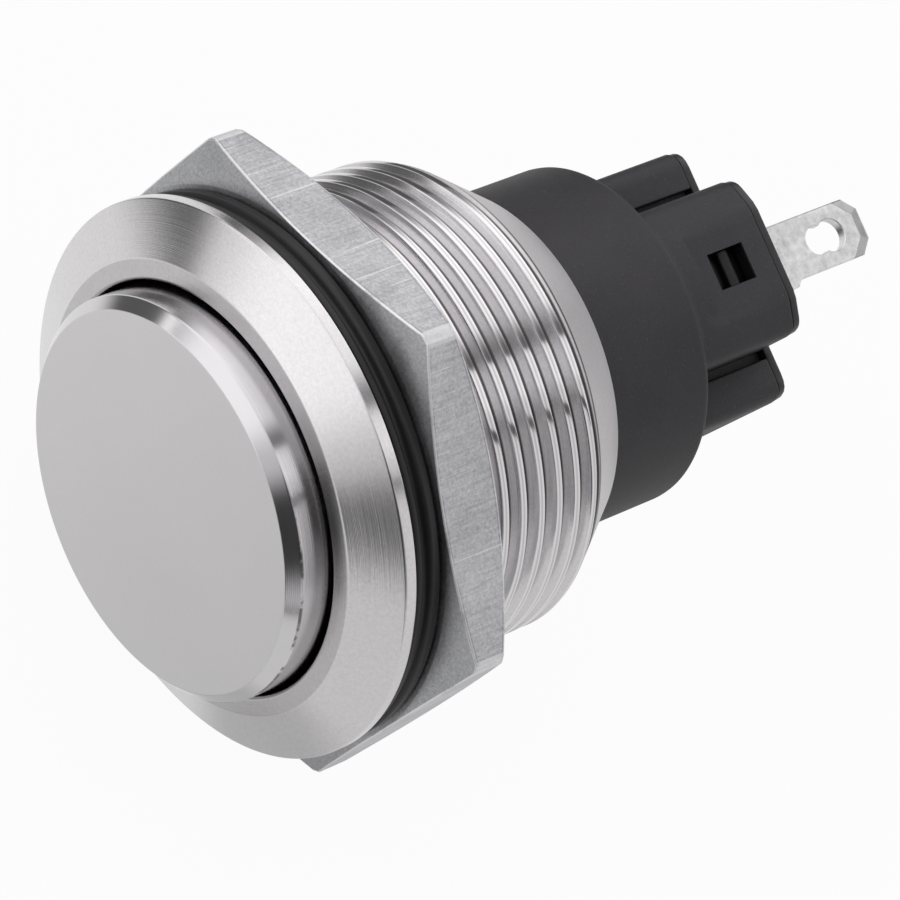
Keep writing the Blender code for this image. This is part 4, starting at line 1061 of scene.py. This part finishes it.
def coil(name, radius, wire, front, back, active):
    """The centre line keeps its radius. In the closed turn at each end, y rises by a little
    more than the wire's width, and it rises evenly between. The section is a circle of points
    (radius + w cos s, y + w sin s), with w half the wire."""
    turns = active + 2
    t = np.linspace(0, turns, turns * 32 + 1)[:, None]
    s = np.linspace(0, math.tau, 12, endpoint=False)
    levels = [front + 0.5 * wire, front + 1.53 * wire, back - 1.53 * wire, back - 0.5 * wire]
    y = np.interp(t, [0, 1, turns - 1, turns], levels) + wire / 2 * np.sin(s)
    r = radius + wire / 2 * np.cos(s)
    rings = np.stack([r * np.sin(math.tau * t), y, r * np.cos(math.tau * t)], -1)
    return grid_piece(name, loft(rings), caps=True)


TRAVEL = 1.8
BRIDGE_TRAVEL = 0.48 * TRAVEL
# Node, body it rests on, radius, wire, front, back, turns between its end turns, press
springs = [
    ("return_spring", "switch_body", 6.592, 0.70, -1.57, 4.448, 3, TRAVEL),
    ("plunger_spring", "switch_body", 0.775, 0.25, 17.10, 21.748, 4, TRAVEL),
    ("contact_spring", "bridge", 0.974, 0.25, 13.55, 15.644, 2, TRAVEL - BRIDGE_TRAVEL),
]
for node, body, radius, wire, front, back, active, press in springs:
    spring = coil(node.replace("_", "_coil_"), radius, wire, front, back, active)
    spring.data.materials.append(SPRING)
    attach(spring, body)
    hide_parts(node)
    keep = 1 - press / (back - front)
    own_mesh(spring)

# %% [markdown]
# The picture is a product shot on white. The object lies on a white sweep, a wide soft light
# hangs to its left, and the right side of the room is dark in front and overhead. Behind the
# object the room has a bright strip, a dark gap to the strip's left and a thin dark line to its
# right, and low down at the left it is dim. Steel shows these as its bright bands and dark
# streaks. The world carries the room as a plain pattern of directions: x points right, y away
# and z up, and each step fades one part in between two values of a direction of length 1.
# Camera rays see pure white instead.

# %% The room
world = bpy.data.worlds.new("studio")
bpy.context.scene.world = world
world.use_nodes = True
sky = Value(world.node_tree)
background = world.node_tree.nodes["Background"]
x, y, z = sky.node("TexCoord").parts()
LIGHT = 0.84
behind = y.step(-0.15, 0.25)
softbox = (x + z * 0.2).step(0.13, -0.15)
soft_level = 1.50 + behind * 0.12 - z.step(0.45, 0.95) * 0.35
dark_side = x.step(0.08, 0.32) * x.step(0.82, 0.66) * y.step(0.25, -0.4)
dark_top = x.step(0.35, 0.6) * z.step(0.1, 0.4) * y.step(0.55, 0.2) * 0.45
strip = behind * x.step(-0.03, 0.04) * x.step(0.32, 0.22)
gap = behind * x.step(-0.26, -0.06) * x.step(0.01, -0.02)
room = 0.84 - dark_side * 0.78 - dark_top * (1 - dark_side) + strip * 0.42
room = room + behind * x.step(0.15, 0.35) * 0.12
hair = behind * x.step(0.38, 0.40) * x.step(0.47, 0.45)
low = (z - behind * 0.15).step(0.19, -0.14) * x.step(-0.45, -0.62) * y.step(-0.8, -0.7)
dimmed = (1 - gap * 0.75) * (1 - low * (behind * 0.08 + 0.66)) * (1 - hair * 0.85)
seen = (softbox * soft_level + (1 - softbox) * room) * dimmed * LIGHT
camera_ray = sky.node("LightPath")
level = camera_ray + (1 - camera_ray) * seen
world.node_tree.links.new(level.socket, background.inputs["Strength"])
background.inputs["Color"].default_value = (1.0, 0.99, 1.0, 1.0)
print("world nodes:", len(world.node_tree.nodes))

# %% [markdown]
# The floor is a plane under the nut's lowest corner. To the camera it is mostly plain white
# light, mixed with a little real diffuse surface, so that the shadow stays faint. Reflections
# see a white that falls off a little to the right and is brighter far in front on the left.
# They also see dark patches: two at the left, one beside the tower and one beside the bezel, and one
# far in front on the right. A dimmer patch below the nut's right side is a painted shadow, which only
# reflections see. Each patch is a product of steps, which fade it in and out between two places in
# millimetres.

# %% Floor
FLOOR = -14.5
HALF_FLOOR = 300.0
floor_mesh = bpy.data.meshes.new("floor")
square = HALF_FLOOR * np.array([(-1, -1), (1, -1), (1, 1), (-1, 1)])
square = np.hstack([square, np.full((4, 1), FLOOR)]) * MM
floor_mesh.from_pydata(square.tolist(), [], [(0, 1, 2, 3)])
floor = bpy.data.objects.new("floor", floor_mesh)
bpy.context.scene.collection.objects.link(floor)
paper, start, shader = new_material("white_sweep")
shader.inputs["Base Color"].default_value = (0.9, 0.9, 0.9, 1.0)
shader.inputs["Roughness"].default_value = 0.9
shader.inputs["Specular IOR Level"].default_value = 0.0
_, x, y, _ = measured(start)
rear = (-27.5 - x).step(-1.5, 3.0) * (y - 23.0 + (x + 28.5) * 0.5).step(-3.0, 3.0)
front = (-25.0 - x).step(-3.0, 9.0) * y.step(2.0, -8.0)
front = front * (y + 36.0 - (x + 38.0) * 0.35).step(-8.0, 8.0)
dark_left = start.math("MAXIMUM", rear, front) * 0.95
aside = x + y * 0.14
dark_right = y.step(-88.0, -112.0) * aside.step(-4.0, 12.0) * 0.72
bright = y.step(-45.0, -95.0) * x.step(15.0, -30.0) * 0.5
falling = x.step(-14.0, 8.0) * 0.18
# Painted shadow below the nut's right side, seen only by reflections.
under = x.step(8.0, 11.5) * x.step(24.0, 17.0) * y.step(-13.0, -7.0) * y.step(12.0, 6.0) * 0.26
path = start.node("LightPath")
glossy = Value(start.tree, path.socket.node.outputs["Is Glossy Ray"])
level = 1.10 + bright - dark_left - dark_right - falling - under
glow = (1 - glossy) + glossy * level * LIGHT
emission = start.node("Emission", None, {"Color": (1.0, 1.0, 1.0, 1.0), "Strength": glow})
WHITE_SHARE = 0.94
share = path.math("MAXIMUM", path * WHITE_SHARE, glossy)
mixed = start.node("MixShader", None, {0: share, 2: emission})
start.tree.links.new(shader.outputs[0], mixed.socket.node.inputs[1])
output = start.tree.nodes["Material Output"]
start.tree.links.new(mixed.socket, output.inputs["Surface"])
floor_mesh.materials.append(paper)
print("floor at", FLOOR, "mm")

# %% [markdown]
# The camera looks down on the switch from in front, through a long lens. It is rolled, so that
# the switch's axis runs across the picture with the button at the left. Its three axes were
# found by matching the ellipses of the rim, bore and nut.

# %% Camera
PLACE = (12.35, -108.15, 167.37)
LENS = 187.8
SENSOR = 36.0
right = Vector((0.4029, 0.7562, 0.5157)).normalized()
forward = Vector((-0.048, 0.5801, -0.8131)).normalized()
up = right.cross(forward)
right = forward.cross(up)
camera = bpy.data.objects.new("camera", bpy.data.cameras.new("camera"))
bpy.context.scene.collection.objects.link(camera)
turned_to = Matrix((right, up, -forward)).transposed().to_4x4()
camera.matrix_world = Matrix.Translation(Vector(PLACE) * MM) @ turned_to
camera.data.sensor_width = SENSOR
camera.data.lens = LENS
camera.data.clip_start = 0.01
camera.data.clip_end = 10.0
bpy.context.scene.camera = camera
bpy.context.scene.view_settings.view_transform = "Standard"
print("camera at", tuple(round(v, 4) for v in camera.location))
